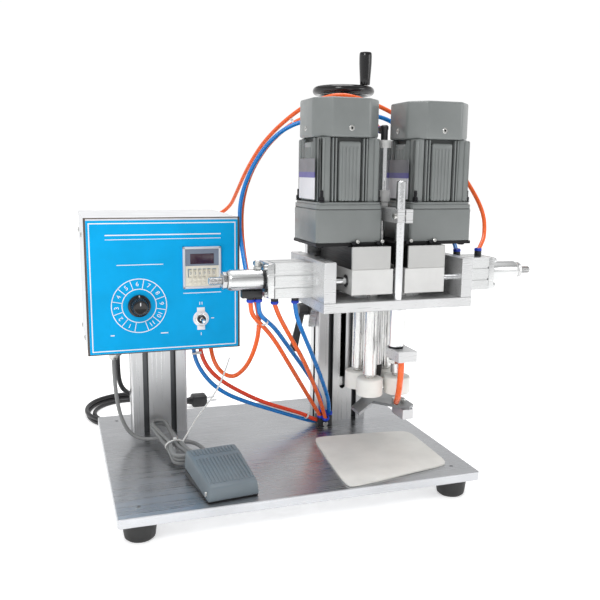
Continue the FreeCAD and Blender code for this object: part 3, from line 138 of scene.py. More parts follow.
class Shape:
    """A mesh being built, in millimetres from the base plate's centre."""

    def __init__(self):
        self.bm = bmesh.new()

    def bevel(self, verts, width, steps=2):
        edges = list(dict.fromkeys(e for v in verts for e in v.link_edges))
        bmesh.ops.bevel(self.bm, geom=edges, offset=width, segments=steps, profile=0.5,
                        affect="EDGES", clamp_overlap=True)

    def box(self, x0, x1, y0, y1, z0, z1, bevel=0.0, steps=2, turn=None):
        verts = bmesh.ops.create_cube(self.bm, size=1.0)["verts"]
        size, middle = Vector((x1 - x0, y1 - y0, z1 - z0)), Vector((x0 + x1, y0 + y1, z0 + z1)) / 2
        for v in verts:
            v.co = Vector(a * b for a, b in zip(v.co, size)) + middle
        if turn:
            bmesh.ops.transform(self.bm, matrix=turn, verts=verts)
        if bevel:
            self.bevel(verts, bevel, steps)
        return self

    def panels(self, rows, y0, y1, bevel=0.0, steps=2):
        """Boxes from rows of x0, x1, z0, z1 that share their front and back."""
        for x0, x1, z0, z1 in rows:
            self.box(x0, x1, y0, y1, z0, z1, bevel, steps)

    def prism(self, outline, z0, z1, bevel=0.0, steps=2, turn=None):
        rows = [[self.bm.verts.new((x, y, z)) for x, y in outline] for z in (z0, z1)]
        bridge(self.bm, rows, caps=True)
        verts = rows[0] + rows[1]
        if turn:
            bmesh.ops.transform(self.bm, matrix=turn, verts=verts)
        if bevel:
            self.bevel(verts, bevel, steps)

    def lathe(self, profile, at, axis=Z, steps=40):
        """Turns (radius, distance along axis) points round the axis through at."""
        turn = axis.to_track_quat("Z", "Y").to_matrix()
        bridge(self.bm, [[self.bm.verts.new(Vector(at) + turn @ Vector((x, y, h)))
                          for x, y in circle(r, steps if r else 1)] for r, h in profile])
        return self

    def rod(self, r, at, length, axis=Z, edge=0.4, steps=32):
        self.lathe([(0, 0), (r - edge, 0), (r, edge), (r, length - edge), (r - edge, length),
                    (0, length)], at, axis, steps)
        return self

    def ring(self, outer, inner, at, length, axis=Z, edge=0.3, steps=32):
        self.lathe([(inner, 0), (outer - edge, 0), (outer, edge), (outer, length - edge),
                    (outer - edge, length), (inner, length), (inner, 0)], at, axis, steps)
        return self

    def hexagon(self, across, at, length, axis=Z, hole=0.0):
        r = across / math.sqrt(3)
        self.lathe([(hole, 0), (r - 0.8, 0), (r, 0.8), (r, length - 0.8), (r - 0.8, length),
                    (hole, length)], at, axis, 6)
        return self

    def torus(self, radius, tube, at, steps=72, around=20):
        rows = []
        for x, y in circle(1.0, steps):
            rows.append([self.bm.verts.new(Vector(at) + Vector(((radius + u) * x, (radius + u) * y, v)))
                         for u, v in circle(tube, around)])
        bridge(self.bm, rows + rows[:1])

    def thread(self, crest, root, pitch, at, length, axis=Z, steps=20):
        """Helical ridge between two radii along the axis from at."""
        turn = axis.to_track_quat("Z", "Y").to_matrix()
        count = int(length / pitch * steps)
        rows = []
        for r, lift in ((crest, 0.0), (root, pitch / 2)):
            rows.append([self.bm.verts.new(Vector(at) + turn @ Vector(
                (r * math.cos(2 * math.pi * i / steps), r * math.sin(2 * math.pi * i / steps),
                 pitch * i / steps + lift))) for i in range(count)])
        high, low = rows
        for i in range(count - 1):
            self.bm.faces.new((high[i], high[i + 1], low[i + 1], low[i]))
            if i + steps + 1 < count:
                self.bm.faces.new((low[i], low[i + 1], high[i + steps + 1], high[i + steps]))

    def words(self, text, size, at, turn, depth=0.12):
        """Adds digits as a thin raised print."""
        curve = bpy.data.curves.new("print", "FONT")
        curve.body, curve.size, curve.extrude = text, size, depth
        curve.align_x, curve.align_y = "CENTER", "CENTER"
        curve.resolution_u = 4
        holder = linked(bpy.data.objects.new("print", curve))
        bpy.context.view_layer.update()
        mesh = bpy.data.meshes.new_from_object(holder)
        mesh.transform(Matrix.Translation(Vector(at)) @ turn)
        self.bm.from_mesh(mesh)
        bpy.data.objects.remove(holder)
        bpy.data.meshes.remove(mesh)

    def finish(self, name, material, body, slot, replaces=(), smooth=38):
        """Turns the shape into a piece in metres that rides on a body."""
        bmesh.ops.translate(self.bm, vec=-ORIGIN, verts=self.bm.verts)
        bmesh.ops.scale(self.bm, vec=Vector((0.001,) * 3), verts=self.bm.verts)
        return attach(mesh_piece(name, self.bm, material, smooth), body, replaces)


# ---- materials ----------------------------------------------------------
def principled(name, color, metallic=0.0, roughness=0.5, coat=0.0, sheen=0.0):
    """New material with a Principled shader."""
    material = bpy.data.materials.new(name)
    material.use_nodes = True
    shader = material.node_tree.nodes["Principled BSDF"]
    shader.inputs["Base Color"].default_value = (*color, 1.0)
    shader.inputs["Metallic"].default_value = metallic
    shader.inputs["Roughness"].default_value = roughness
    shader.inputs["Coat Weight"].default_value = coat
    shader.inputs["Coat Roughness"].default_value = 0.12
    shader.inputs["Sheen Weight"].default_value = sheen
    return material


def add_node(owner, kind, sockets=None, **settings):
    """Adds a node to a material or the world; a socket takes a value or another node's output."""
    node = owner.node_tree.nodes.new("ShaderNode" + kind)
    for name, value in settings.items():
        setattr(node, name, value)
    for name, value in (sockets or {}).items():
        if isinstance(value, bpy.types.NodeSocket):
            owner.node_tree.links.new(value, node.inputs[name])
        else:
            node.inputs[name].default_value = value
    return node


def noise(material, scale, detail=4.0):
    """Noise in object space; scale gives its cells per metre along each axis."""
    coords = add_node(material, "TexCoord")
    mapping = add_node(material, "Mapping", {"Vector": coords.outputs["Object"], "Scale": scale})
    return add_node(material, "TexNoise", {"Vector": mapping.outputs["Vector"], "Scale": 1.0,
                                           "Detail": detail}).outputs["Fac"]


def ranged(material, value, low, high, start=0.3, end=0.7):
    """Maps a value from start..end onto low..high, and holds it there outside."""
    return add_node(material, "MapRange", {"Value": value, "From Min": start, "From Max": end,
                                           "To Min": low, "To Max": high}).outputs["Result"]


def mixed(material, factor, first, second):
    """Mixes two colours, each a tuple or another node's output."""
    node = add_node(material, "Mix", {"Factor": factor}, data_type="RGBA")
    for socket, value in (("A", first), ("B", second)):
        inlet = next(s for s in node.inputs if s.name == socket and s.type == "RGBA")
        if isinstance(value, tuple):
            inlet.default_value = (*value, 1.0)
        else:
            material.node_tree.links.new(value, inlet)
    return next(s for s in node.outputs if s.type == "RGBA")


def times(material, first, second):
    """Product of two masks."""
    return add_node(material, "Math", {0: first, 1: second}, operation="MULTIPLY").outputs[0]


def drive(material, socket, value):
    """Links a value to one of the shader's sockets."""
    shader = material.node_tree.nodes["Principled BSDF"]
    material.node_tree.links.new(value, shader.inputs[socket])


def bump(material, height, strength, distance):
    """Raises the surface by a height that a texture gives; the distance is in metres."""
    node = add_node(material, "Bump", {"Height": height, "Strength": strength, "Distance": distance})
    drive(material, "Normal", node.outputs["Normal"])


def brushed(name, color, roughness, streak, depth=0.12, metallic=1.0):
    """Metal with fine lines; streak gives cells per metre, few along the lines."""
    m = principled(name, color, metallic, roughness)
    lines = noise(m, streak, 3.0)
    drive(m, "Roughness", ranged(m, lines, roughness - 0.08, roughness + 0.1))
    darker = tuple(c * 0.86 for c in color)
    drive(m, "Base Color", mixed(m, ranged(m, noise(m, (14, 14, 14)), 0.0, 1.0), color, darker))
    bump(m, lines, depth, 0.0002)
    return m


def moulded(name, color, roughness, grain=900.0, depth=0.15, coat=0.0, metallic=0.0, sheen=0.0):
    """Plastic, rubber or paint with a fine surface grain and slight colour drift."""
    m = principled(name, color, metallic, roughness, coat, sheen)
    speck = noise(m, (grain,) * 3, 3.0)
    drive(m, "Roughness", ranged(m, noise(m, (60,) * 3), roughness - 0.05, roughness + 0.07))
    shade = tuple(c * 0.88 for c in color)
    drive(m, "Base Color", mixed(m, ranged(m, noise(m, (25,) * 3), 0.0, 1.0), color, shade))
    bump(m, speck, depth, 0.0003)
    return m


def depth_mask(material, axis, start, end):
    """0 before start and 1 after end along axis 0, 1 or 2, in millimetres as in place()."""
    coords = add_node(material, "TexCoord")
    split = add_node(material, "SeparateXYZ", {"Vector": coords.outputs["Object"]})
    shift = ORIGIN[axis]
    return ranged(material, split.outputs[axis], 0.0, 1.0, (start - shift) / 1000, (end - shift) / 1000)


MATS = {
    "plate": brushed("anodised_plate", (0.60, 0.61, 0.63), 0.30, (6, 500, 500), 0.03),
    "head_plate": brushed("milled_plate", (0.68, 0.685, 0.69), 0.32, (20, 900, 900), 0.06, 0.6),
    "extrusion": brushed("extruded_profile", (0.78, 0.79, 0.80), 0.33, (900, 900, 5), 0.10),
    "steel": brushed("turned_steel", (0.60, 0.60, 0.60), 0.22, (900, 900, 60), 0.05),
    "chrome": brushed("ground_rod", (0.80, 0.81, 0.82), 0.10, (400, 400, 400), 0.01),
    "spindle": brushed("turned_sleeve", (0.74, 0.74, 0.731), 0.26, (700, 700, 60), 0.05),
    "screw": brushed("plated_screw", (0.62, 0.62, 0.60), 0.25, (500, 500, 500), 0.05),
    "blasted": moulded("bead_blasted", (0.70, 0.70, 0.69), 0.5, 1600, 0.55, metallic=0.4),
    "brushed": brushed("brushed_block", (0.56, 0.56, 0.55), 0.38, (30, 30, 1100), 0.10, 0.6),
    "cylinder": brushed("drawn_cylinder", (0.722, 0.73, 0.73), 0.26, (8, 900, 900), 0.10),
    "motor": moulded("grey_enamel", (0.192, 0.207, 0.204), 0.34, 500, 0.25, coat=0.25),
    # Painted shade for the motors' core and cooling slots; also their dark seam.
    "motor_dark": moulded("shadowed_casting", (0.07, 0.075, 0.075), 0.55, 500, 0.3),
    "gloss_black": moulded("gloss_bakelite", (0.008, 0.008, 0.009), 0.16, 60, 0.02, coat=0.1),
    "black": moulded("black_plastic", (0.02, 0.02, 0.022), 0.38, 1200, 0.2),
    "black_steel": moulded("blackened_screw", (0.025, 0.025, 0.028), 0.3, 700, 0.1, metallic=0.8),
    "rubber": moulded("black_rubber", (0.018, 0.018, 0.018), 0.55, 1400, 0.35),
    "label_head": moulded("label_grey", (0.20, 0.20, 0.215), 0.35, 500, 0.15, metallic=0.3),
    "wheel": moulded("cream_silicone", (0.84, 0.83, 0.79), 0.50, 1200, 0.2, sheen=0.1),
    "mat": moulded("white_silicone", (0.84, 0.83, 0.79), 0.62, 1100, 0.3),
    "sheet": moulded("silver_powder_coat", (0.74, 0.75, 0.77), 0.42, 1500, 0.25),
    "film": moulded("blue_print_film", (0.0, 0.41, 0.84), 0.5, 800, 0.05),
    "white_print": moulded("white_print", (0.92, 0.93, 0.95), 0.45, 900, 0.02),
    # Painted shade of the recessed gap round the control panel.
    "seam": moulded("painted_gap_shade", (0.10, 0.075, 0.06), 0.6, 900, 0.2),
    "bezel": moulded("pale_bezel", (0.66, 0.69, 0.74), 0.38, 900, 0.1),
    "slate": moulded("slate_bezel", (0.20, 0.24, 0.31), 0.35, 900, 0.1),
    "cream": moulded("cream_plastic", (0.80, 0.77, 0.66), 0.42, 900, 0.1),
    "display": moulded("smoked_window", (0.035, 0.008, 0.025), 0.12, 200, 0.01, coat=0.4),
    "orange": moulded("orange_tube", (0.93, 0.135, 0.018), 0.26, 300, 0.05, coat=0.1),
    "red": moulded("red_tube", (0.80, 0.055, 0.012), 0.26, 300, 0.05, coat=0.1),
    "blue_tube": moulded("blue_tube", (0.0, 0.20, 0.62), 0.26, 300, 0.05, coat=0.1),
    "collar": moulded("blue_collar", (0.01, 0.05, 0.55), 0.35, 900, 0.1),
    "tie": moulded("nylon_tie", (0.74, 0.74, 0.72), 0.45, 900, 0.1),
    "pedal": moulded("slate_pedal", (0.155, 0.19, 0.215), 0.42, 1500, 0.3),
    "grey_cord": moulded("grey_sheath", (0.23, 0.235, 0.235), 0.45, 900, 0.1),
    "black_cord": moulded("black_sheath", (0.012, 0.012, 0.014), 0.42, 900, 0.1),
    "brass": brushed("machined_brass", (0.72, 0.55, 0.26), 0.25, (400, 400, 400), 0.05),
    "label": moulded("pale_label", (0.72, 0.72, 0.75), 0.35, 900, 0.03),
    "label_band": moulded("violet_band", (0.12, 0.11, 0.33), 0.35, 900, 0.03),
}
MATS["film"].node_tree.nodes["Principled BSDF"].inputs["Specular IOR Level"].default_value = 0.12


def between(material, axis, start, end):
    """1 between two places along an axis and 0 outside them."""
    return times(material, depth_mask(material, axis, start, start + 0.6),
                 depth_mask(material, axis, end, end - 0.6))


def recoloured(material, mask, colour):
    """Gives the masked part of a material another colour."""
    base = material.node_tree.nodes["Principled BSDF"].inputs["Base Color"]
    drive(material, "Base Color", mixed(material, mask, base.links[0].from_socket, colour))
    return material


def column_finish(name, x, y, channel=0.0):
    """The extrusion's finish on its skin, painted shade in its slots, and a painted black shadow in the
    milled channel.
    """
    m = brushed(name, (0.70, 0.705, 0.71), 0.33, (900, 900, 5), 0.08, 0.85)
    skin = 1.0
    half_x, half_y = COLUMN_HALF_X - skin, COLUMN_HALF_Y - skin
    # Painted shade on every face deeper than the skin: the hollows of the slots.
    recoloured(m, times(m, between(m, 0, x - half_x, x + half_x), between(m, 1, y - half_y, y + half_y)),
               (0.13, 0.135, 0.14))
    if channel:
        # Painted black shadow inside the milled channel.
        channel_shade = times(m, between(m, 0, x - channel, x + channel), between(m, 1, y - 19.4, y + half_y))
        recoloured(m, channel_shade, (0.01, 0.01, 0.01))
    return m


def housing_finish():
    """Bright front plate with a black housing behind it."""
    m = brushed("housing", (0.56, 0.56, 0.55), 0.38, (30, 30, 1100), 0.10, 0.6)
    plate_back = HEAD_Y - 55.0
    return recoloured(m, depth_mask(m, 1, plate_back, plate_back + 0.6), (0.014, 0.014, 0.015))


def neck_finish():
    """Grey plate over its paler strip."""
    m = moulded("neck_plate", (0.30, 0.31, 0.32), 0.32, 500, 0.12, metallic=0.6)
    strip_top = 100.6
    return recoloured(m, depth_mask(m, 2, strip_top + 0.3, strip_top), (0.66, 0.66, 0.67))


def slider_finish():
    """Near black from the cheek's edge onwards, over the web behind the blocks, and bright milled cheek
    beside the column.
    """
    m = brushed("slider_plate", (0.78, 0.79, 0.80), 0.30, (20, 900, 900), 0.08)
    cheek = HEAD_X - 40.4
    return recoloured(m, depth_mask(m, 0, cheek, cheek + 0.8), (0.012, 0.012, 0.013))


def finish_node(material, *names):
    """Gives a material to CAD nodes by name."""
    for name in names:
        slots = NODES[name].data.materials
        slots.clear()
        slots.append(material)


def sides(*names):
    """The left and the right node of each name."""
    return [side + "_" + name for side, _ in SIDES for name in names]


def finish_cad_nodes():
    """CAD nodes that keep their own shape take their real finish here."""
    finish_node(MATS["plate"], "base_plate")
    finish_node(column_finish("windowed_profile", HEAD_X, COLUMN_FRONT + COLUMN_HALF_Y, CHANNEL_HALF),
                "main_column")
    finish_node(column_finish("plain_profile", CONTROL_COLUMN_X, CONTROL_COLUMN_Y), "control_column")
    finish_node(MATS["extrusion"], "column_top_plate")
    finish_node(MATS["head_plate"], "head_floor", "head_walls", "post_arms")
    finish_node(slider_finish(), "column_slider")
    finish_node(MATS["spindle"], *sides("front_spindle", "rear_spindle"))
    finish_node(MATS["steel"], "screw_bearings", *sides("drive_pinion"))
    finish_node(MATS["brass"], "lead_nut")
    finish_node(MATS["chrome"], "carriage_rods")
    finish_node(neck_finish(), "neck_guide")
    finish_node(MATS["screw"], "carriage_screws", "base_screws")
    finish_node(MATS["blasted"], *sides("lower_block"))
    finish_node(housing_finish(), *sides("upper_block"))
    finish_node(MATS["sheet"], "box_shell", "box_panel")
    finish_node(MATS["black"], "box_electronics")


# ---- studio -------------------------------------------------------------
CAMERA_AT = (-286.0, -974.9, 425.6)
CAMERA_YAW, CAMERA_PITCH, CAMERA_ROLL = 0.324, 0.175, 0.011
CAMERA_LENS, SENSOR_WIDTH = 44.2, 36.0
MIDDLE = Vector((0.0, 0.0, 0.25))
LAMPS = (("key", (-1.1, -1.3, 1.5), 0.7, 11.0), ("fill", (1.5, -1.1, 0.9), 0.8, 4.0),
         ("top", (0.1, 0.2, 1.9), 1.0, 12.0))          # name, place, size and power
# Brightness of the world by height of the view ray, then by how far it points to the back.
SKY_LEVELS = ((0.0, 1.0), (0.30, 1.0), (0.42, 0.42), (0.62, 0.55), (0.80, 1.0))
SKY_FRONT = {"From Min": -0.9, "From Max": 0.1, "To Min": 0.62, "To Max": 1.0}
FLOOR_REACH = 6.0


def add_camera():
    """Camera in front and to the left, a little above the head."""
    data = bpy.data.cameras.new("camera")
    data.sensor_width, data.lens = SENSOR_WIDTH, CAMERA_LENS
    camera = linked(bpy.data.objects.new("camera", data))
    ahead = Vector((math.sin(CAMERA_YAW) * math.cos(CAMERA_PITCH),
                    math.cos(CAMERA_YAW) * math.cos(CAMERA_PITCH), -math.sin(CAMERA_PITCH)))
    right = Vector((math.cos(CAMERA_YAW), -math.sin(CAMERA_YAW), 0.0))
    up = right.cross(ahead)
    tilted = math.cos(CAMERA_ROLL) * right + math.sin(CAMERA_ROLL) * up
    top = -math.sin(CAMERA_ROLL) * right + math.cos(CAMERA_ROLL) * up
    turn = Matrix((tilted, top, -ahead)).transposed().to_4x4()
    camera.matrix_world = Matrix.Translation(place(*CAMERA_AT)) @ turn
    bpy.context.scene.camera = camera


def add_lamp(name, at, size, power):
    """Round area lamp that points at the middle of the machine."""
    data = bpy.data.lights.new(name, "AREA")
    data.shape, data.size, data.energy = "DISK", size, power
    lamp = linked(bpy.data.objects.new(name, data))
    lamp.location = at
    lamp.rotation_euler = (MIDDLE - Vector(at)).to_track_quat("-Z", "Y").to_euler()


def add_world():
    """White round the horizon, and darker above and in front, for bright metal to reflect."""
    world = bpy.data.worlds.new("studio")
    world.use_nodes = True
    coords = add_node(world, "TexCoord")
    split = add_node(world, "SeparateXYZ", {"Vector": coords.outputs["Generated"]})
    ramp = add_node(world, "ValToRGB", {"Fac": split.outputs["Z"]})
    stops = ramp.color_ramp.elements
    stops.remove(stops[1])
    for i, (at, level) in enumerate(SKY_LEVELS):
        stop = stops[0] if i == 0 else stops.new(at)
        stop.position, stop.color = at, (level, level, level, 1.0)
    front = add_node(world, "MapRange", {"Value": split.outputs["Y"], **SKY_FRONT})
    shade = add_node(world, "VectorMath", {0: ramp.outputs["Color"], "Scale": front.outputs["Result"]},
                     operation="SCALE")
    background = world.node_tree.nodes["Background"]
    world.node_tree.links.new(shade.outputs["Vector"], background.inputs["Color"])
    background.inputs["Strength"].default_value = 1.02
    bpy.context.scene.world = world


def add_studio():
    """White room with three lamps and a bright floor."""
    bpy.context.scene.view_settings.view_transform = "Standard"
    add_world()
    for lamp in LAMPS:
        add_lamp(*lamp)
    mesh = bpy.data.meshes.new("floor")
    corners = [(x * FLOOR_REACH, y * FLOOR_REACH, 0) for x, y in ((-1, -1), (1, -1), (1, 1), (-1, 1))]
    mesh.from_pydata(corners, [], [(0, 1, 2, 3)])
    floor = linked(bpy.data.objects.new("floor", mesh))
    paper = moulded("studio_floor", (0.93, 0.93, 0.93), 0.7, 40, 0.0)
    shader = paper.node_tree.nodes["Principled BSDF"]
    shader.inputs["Emission Color"].default_value = (1.0, 1.0, 1.0, 1.0)
    shader.inputs["Emission Strength"].default_value = 0.5
    mesh.materials.append(paper)


# ---- cords and tubes ----------------------------------------------------
PEDAL_CORD = [(-213.5, 62.5, 163), (-213.5, 62.5, 138), (-211.5, 62.5, 105), (-206, 62, 72),
              (-194, 60, 48), (-177, 51, 42), (-164, 37, 46), (-155, 24, 52)]
PEDAL_TAIL = [(-137, 3, 49), (-124, 13, 47), (-111, 12, 44), (-103, 1, 41.5), (-99, -16, 40.2),
              (-98.5, -38, 40.2), (-102, -60, 42), (-105, -79, 45.4)]
MAINS_A = [(-206.5, 84.5, 163), (-206.5, 84.5, 143), (-205, 94, 121), (-199, 111, 102),
           (-187, 130, 87), (-173, 155, 74), (-164, 182, 60), (-159, 206, 42), (-154, 228, 26),
           (-147, 247, 18.4), (-137, 262, 11), (-125, 275, 5.6), (-116, 291, 3.8)]
MAINS_B = [(-107, 250, 12.5), (-102, 266, 12.5), (-98.5, 282, 12.5), (-94, 295, 12.5),
           (-86, 301.5, 12.2), (-77, 302, 12)]
COIL_AT, COIL_OUT, COIL_IN = (-172.0, 300.0), (73.5, 82.5), (60.0, 65.0)
COIL_POINTS, COIL_PER_TURN, COIL_START = 40, 14, math.radians(12)
COIL_WIDENS = (0.7, 0.5)            # where the coil grows from its small turn, in turns: start, length
COIL_CLIMBS = (1.9, 0.35)           # where it climbs onto itself
COIL_FLOOR, COIL_LAYER, COIL_WANDER = 3.6, 7.1, 1.2
PLUG_AT = (-81.0, 302.0, 12.0)
HANK_AT, HANK_ALONG = Vector((-144.5, 8.0, 54.5)), Vector((20.0, -127.0, -15.0)).normalized()
NECK_HOSE = [(134, -139.5, 191), (134, -139.5, 167), (136, -132, 145), (142, -117, 127),
             (150, -98, 115.5), (157, -82, 108)]
TUBE_ROUTES = {
    "outer_orange_arc": [
        (-70, 216, 335), (-69, 238, 335), (-55, 258, 338), (-28, 262, 344),
        (-4, 240, 362), (0, 205, 389), (6, 160, 428), (22, 110, 472), (56, 62, 511),
        (84, 42, 526), (110, 27, 532), (146, 15, 522), (184, 6, 505), (226, -1, 478),
        (266, -6, 446), (297, -14, 408), (313, -33, 366), (303, -53, 334),
        (290, -64, 322), (283.5, -68.5, 315)],
    "loop_orange": [
        (-76, 58, 178), (-76.5, 53, 160), (-68, 37, 138), (-54, 15, 133), (-42.6, -6, 149),
        (-36, -25, 172), (-32, -40, 199), (-32, -50, 224), (-34, -47, 248),
        (-38, -32, 270), (-37, -5, 286), (-33.5, 26, 308), (-31, 50, 340), (-26, 67, 378),
        (-13, 72, 419), (10, 71, 457), (36, 66, 483), (62, 55, 500), (92, 33, 508),
        (117, 6, 507), (133, -18, 497), (135, -40, 485), (133, -55, 479)],
    "inner_blue_arc": [
        (-44, -57, 267), (-44, -46, 268), (-42, -28, 276), (-38, 0, 291),
        (-36, 28, 316), (-35, 48, 345), (-30.5, 57, 387), (-14, 57, 429),
        (10, 52, 465), (38, 42, 488), (76, 26, 498), (118, 12, 500), (157, 4, 503),
        (190, -6, 485), (222, -13, 452), (238, -15, 412), (246, -16, 372),
        (257, -28, 342), (257, -50, 324), (249.5, -68.5, 313)],
    "outer_orange_down": [
        (-49, -68.5, 258), (-48.5, -68.2, 246), (-43.5, -64.5, 236.5), (-33, -57, 226),
        (-10, -43, 201), (20, -20, 156), (50, 6, 112), (75, 30, 76), (86, 38.5, 60),
        (90.5, 41.5, 52)],
    "inner_orange_down": [
        (-16.5, -68.5, 253), (-13, -67.5, 243), (-3, -61, 225), (16, -47, 196),
        (42, -23, 158), (66, 3, 115), (86, 26, 78), (95, 37, 57), (98.5, 40.5, 47)],
    "inner_blue_down": [
        (11.5, -68.5, 253), (13, -67, 241), (20, -61, 223), (35, -46, 197),
        (58, -20, 158), (80, 6, 119), (96, 26, 88), (103, 38, 68), (106, 46.5, 56)],
    "outer_blue_down": [
        (-38.5, -68.5, 258), (-38, -68.2, 246), (-33.5, -64.7, 236.8), (-24.5, -57.3, 229),
        (-8, -43.5, 214.5), (14, -25, 187), (42, -3, 152), (66, 17, 121), (84, 34, 94),
        (94, 48, 76), (98, 53.5, 57)],
    "box_red": [
        (-92, 56, 178), (-91.6, 55, 163), (-82, 52, 140), (-64, 48, 121), (-35, 45, 102),
        (-1.6, 43, 84), (34.4, 43, 70), (62, 45, 59), (77, 46.5, 50), (86.5, 47, 46)],
    "box_blue": [
        (-101.5, 57, 178), (-101, 56, 160), (-93, 53, 139), (-78, 48, 118), (-57, 45, 101),
        (-30, 43, 88), (-1, 43, 76), (34, 44.5, 62), (62, 50, 50), (78, 53, 43.5),
        (86.5, 53.5, 42)],
}
# Tubes with both ends on one body, and that body. The others stretch from the base to the head.
TUBES_AT_REST = {"box_red": "base", "box_blue": "base", "inner_blue_arc": "carriage"}
TUBE_RADIUS = 0.003                 # in metres


def route(name, points, diameter=0.0):
    """Curve with one smooth spline that has these control points."""
    curve = bpy.data.curves.new(name, "CURVE")
    curve.dimensions = "3D"
    curve.bevel_depth = diameter / 2000
    curve.bevel_resolution = 5
    curve.resolution_u = 10
    curve.use_fill_caps = True
    spline = curve.splines.new("NURBS")
    spline.points.add(len(points) - 1)
    for point, at in zip(spline.points, points):
        point.co = (*place(*at), 1.0)
    spline.order_u = 3
    spline.use_endpoint_u = True
    return linked(bpy.data.objects.new(name, curve))


def tube(name, points, diameter, material, slot, replaces, body="base"):
    """Round cord that keeps its shape and rides on one body."""
    piece = route(name, points, diameter)
    piece.data.materials.append(MATS[material])
    return attach(piece, body, replaces)


def spline_points(points):
    """Points along the route's own spline."""
    line = route("line", points)
    bpy.context.view_layer.update()
    mesh = bpy.data.meshes.new_from_object(line)
    found = [v.co.copy() for v in mesh.vertices]
    bpy.data.objects.remove(line)
    bpy.data.meshes.remove(mesh)
    return found


def sweep(name, path, section, material):
    """Mesh with one section, given across and up, carried along a path without twisting."""
    bm = bmesh.new()
    rows, up = [], Z
    for i, at in enumerate(path):
        ahead = (path[min(i + 1, len(path) - 1)] - path[max(i - 1, 0)]).normalized()
        if i == 0 and abs(ahead.z) > 0.9:
            up = X
        across = ahead.cross(up).normalized()
        up = across.cross(ahead)
        rows.append([bm.verts.new(at + across * a + up * b) for a, b in section])
    bridge(bm, rows, caps=True)
    return mesh_piece(name, bm, material, 50)


def moving_tube(name, points, material):
    """Air tube swept as one fixed mesh between the base and the head."""
    path = spline_points(points)
    piece = sweep(name, path, circle(TUBE_RADIUS, 16), material)
    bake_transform(piece)
    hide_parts("air_tubes")
    return piece, path


def add_air_tubes():
    """The nine air tubes and the neck hose."""
    colours = {"orange": "orange", "blue": "blue_tube", "red": "red"}
    for name, points in TUBE_ROUTES.items():
        material = next(colours[c] for c in colours if c in name)
        path = None
        if name in TUBES_AT_REST:
            piece = tube(name, points, 6.0, material, "tube_orange", ["air_tubes"], TUBES_AT_REST[name])
        else:
            piece, path = moving_tube(name, points, material)
    hose = tube("neck_hose_piece", NECK_HOSE, 8.0, "orange", "tube_orange", ["neck_hose"], "carriage")


def eased(value):
    """Smooth step from 0 to 1."""
    value = min(max(value, 0.0), 1.0)
    return value * value * (3 - 2 * value)


def coil_points():
    """One small turn, then two large ones on top of each other."""
    points = []
    for i in range(COIL_POINTS):
        turns = i / COIL_PER_TURN
        a = COIL_START + 2 * math.pi * turns
        out = eased((turns - COIL_WIDENS[0]) / COIL_WIDENS[1])
        wander = COIL_WANDER * math.sin(3.1 * turns)
        rx = COIL_IN[0] + (COIL_OUT[0] - COIL_IN[0]) * out + wander
        ry = COIL_IN[1] + (COIL_OUT[1] - COIL_IN[1]) * out - wander
        lift = COIL_LAYER * eased((turns - COIL_CLIMBS[0]) / COIL_CLIMBS[1])
        points.append((COIL_AT[0] + rx * math.cos(a), COIL_AT[1] + ry * math.sin(a), COIL_FLOOR + lift))
    return points


def add_mains():
    """Plug with two pins, and the lead that coils beside the machine."""
    plug = Shape()
    x, y, z = PLUG_AT
    plug.lathe([(3.6, 0), (4.6, 0.4), (4.9, 3), (4.6, 5), (5.4, 7), (5.2, 9), (6.0, 11),
                (5.8, 13), (6.8, 15), (7.0, 20), (0, 20)], (x, y, z), X, 28)
    plug.box(x + 18, x + 46, y - 13, y + 13, z - 10.5, z + 10.5, 5.0, 5)
    body = plug.finish("plug_body", "black_cord", "base", "cord_black", ["mains_plug"])
    pins = Shape()
    for side in (-1, 1):
        pins.lathe([(2.0, 0), (2.0, 16), (1.0, 18.5), (0, 19)], (x + 45, y + side * 9.5, z), X, 20)
    pins = pins.finish("plug_pins", "chrome", "base", "bright_steel", ["mains_plug"])
    points = MAINS_A + coil_points() + MAINS_B
    cord = tube("mains_lead", points, 7.0, "black_cord", "cord_black", ["mains_cord", "mains_coil"])


# One turn of the hank: distance along it, and how far across as a share of waist and of bow.
HANK_TURN = [(28, 1, 0), (44, 0.4, 0.6), (56, 0, 1), (63, 0, 0.5), (63, 0, -0.5), (56, 0, -1),
             (44, -0.4, -0.6), (28, -1, 0), (14, -1, 0), (-10, -0.6, -0.4), (-36, -0.2, -0.7),
             (-54, 0, -0.9), (-62, 0, -0.45), (-62, 0, 0.45), (-54, 0, 0.9), (-36, 0.2, 0.7),
             (-10, 0.6, 0.4), (14, 1, 0)]
# Each turn's waist and bow, and how high they lie over the hank's axis.
HANK_SIZES = ((9.5, 12.5, -2.9, -5.0), (3.2, 11.5, 0.5, 0.2), (8.5, 12.5, 2.9, 5.4))


def hank_points():
    """Turns that are pinched at the tie and bow out to round ends; the last is half a turn."""
    across = HANK_ALONG.cross(Z).normalized()
    above = across.cross(HANK_ALONG).normalized()
    points = []
    for waist, bow, waist_lift, bow_lift in HANK_SIZES:
        for along, at_waist, at_bow in HANK_TURN:
            side = waist * at_waist + bow * at_bow
            lift = waist_lift if at_waist else bow_lift
            points.append(tuple(HANK_AT + HANK_ALONG * along + across * side + above * lift))
    return points[:-(len(HANK_TURN) // 2)]


def add_pedal_cord():
    """One cord from the box through its tied hank to the pedal."""
    points = PEDAL_CORD + hank_points() + PEDAL_TAIL
    cord = tube("pedal_lead", points, 5.5, "grey_cord", "cord_grey", ["pedal_cord", "pedal_hank"])


# ---- base ---------------------------------------------------------------
def add_feet():
    """Four rubber feet with their screw recesses."""
    feet = Shape()
    for x in (-FOOT_X, FOOT_X):
        for y in (-FOOT_Y, FOOT_Y):
            feet.lathe([(0, 4), (8, 4), (8, 0), (15.5, 0), (18, 2.2), (18.6, 5), (20.6, 21),
                        (20.6, 24.9), (0, 24.9)], (x, y, 0), Z, 48)
    feet.finish("feet", "rubber", "base", "foot_rubber", ["rubber_feet"])


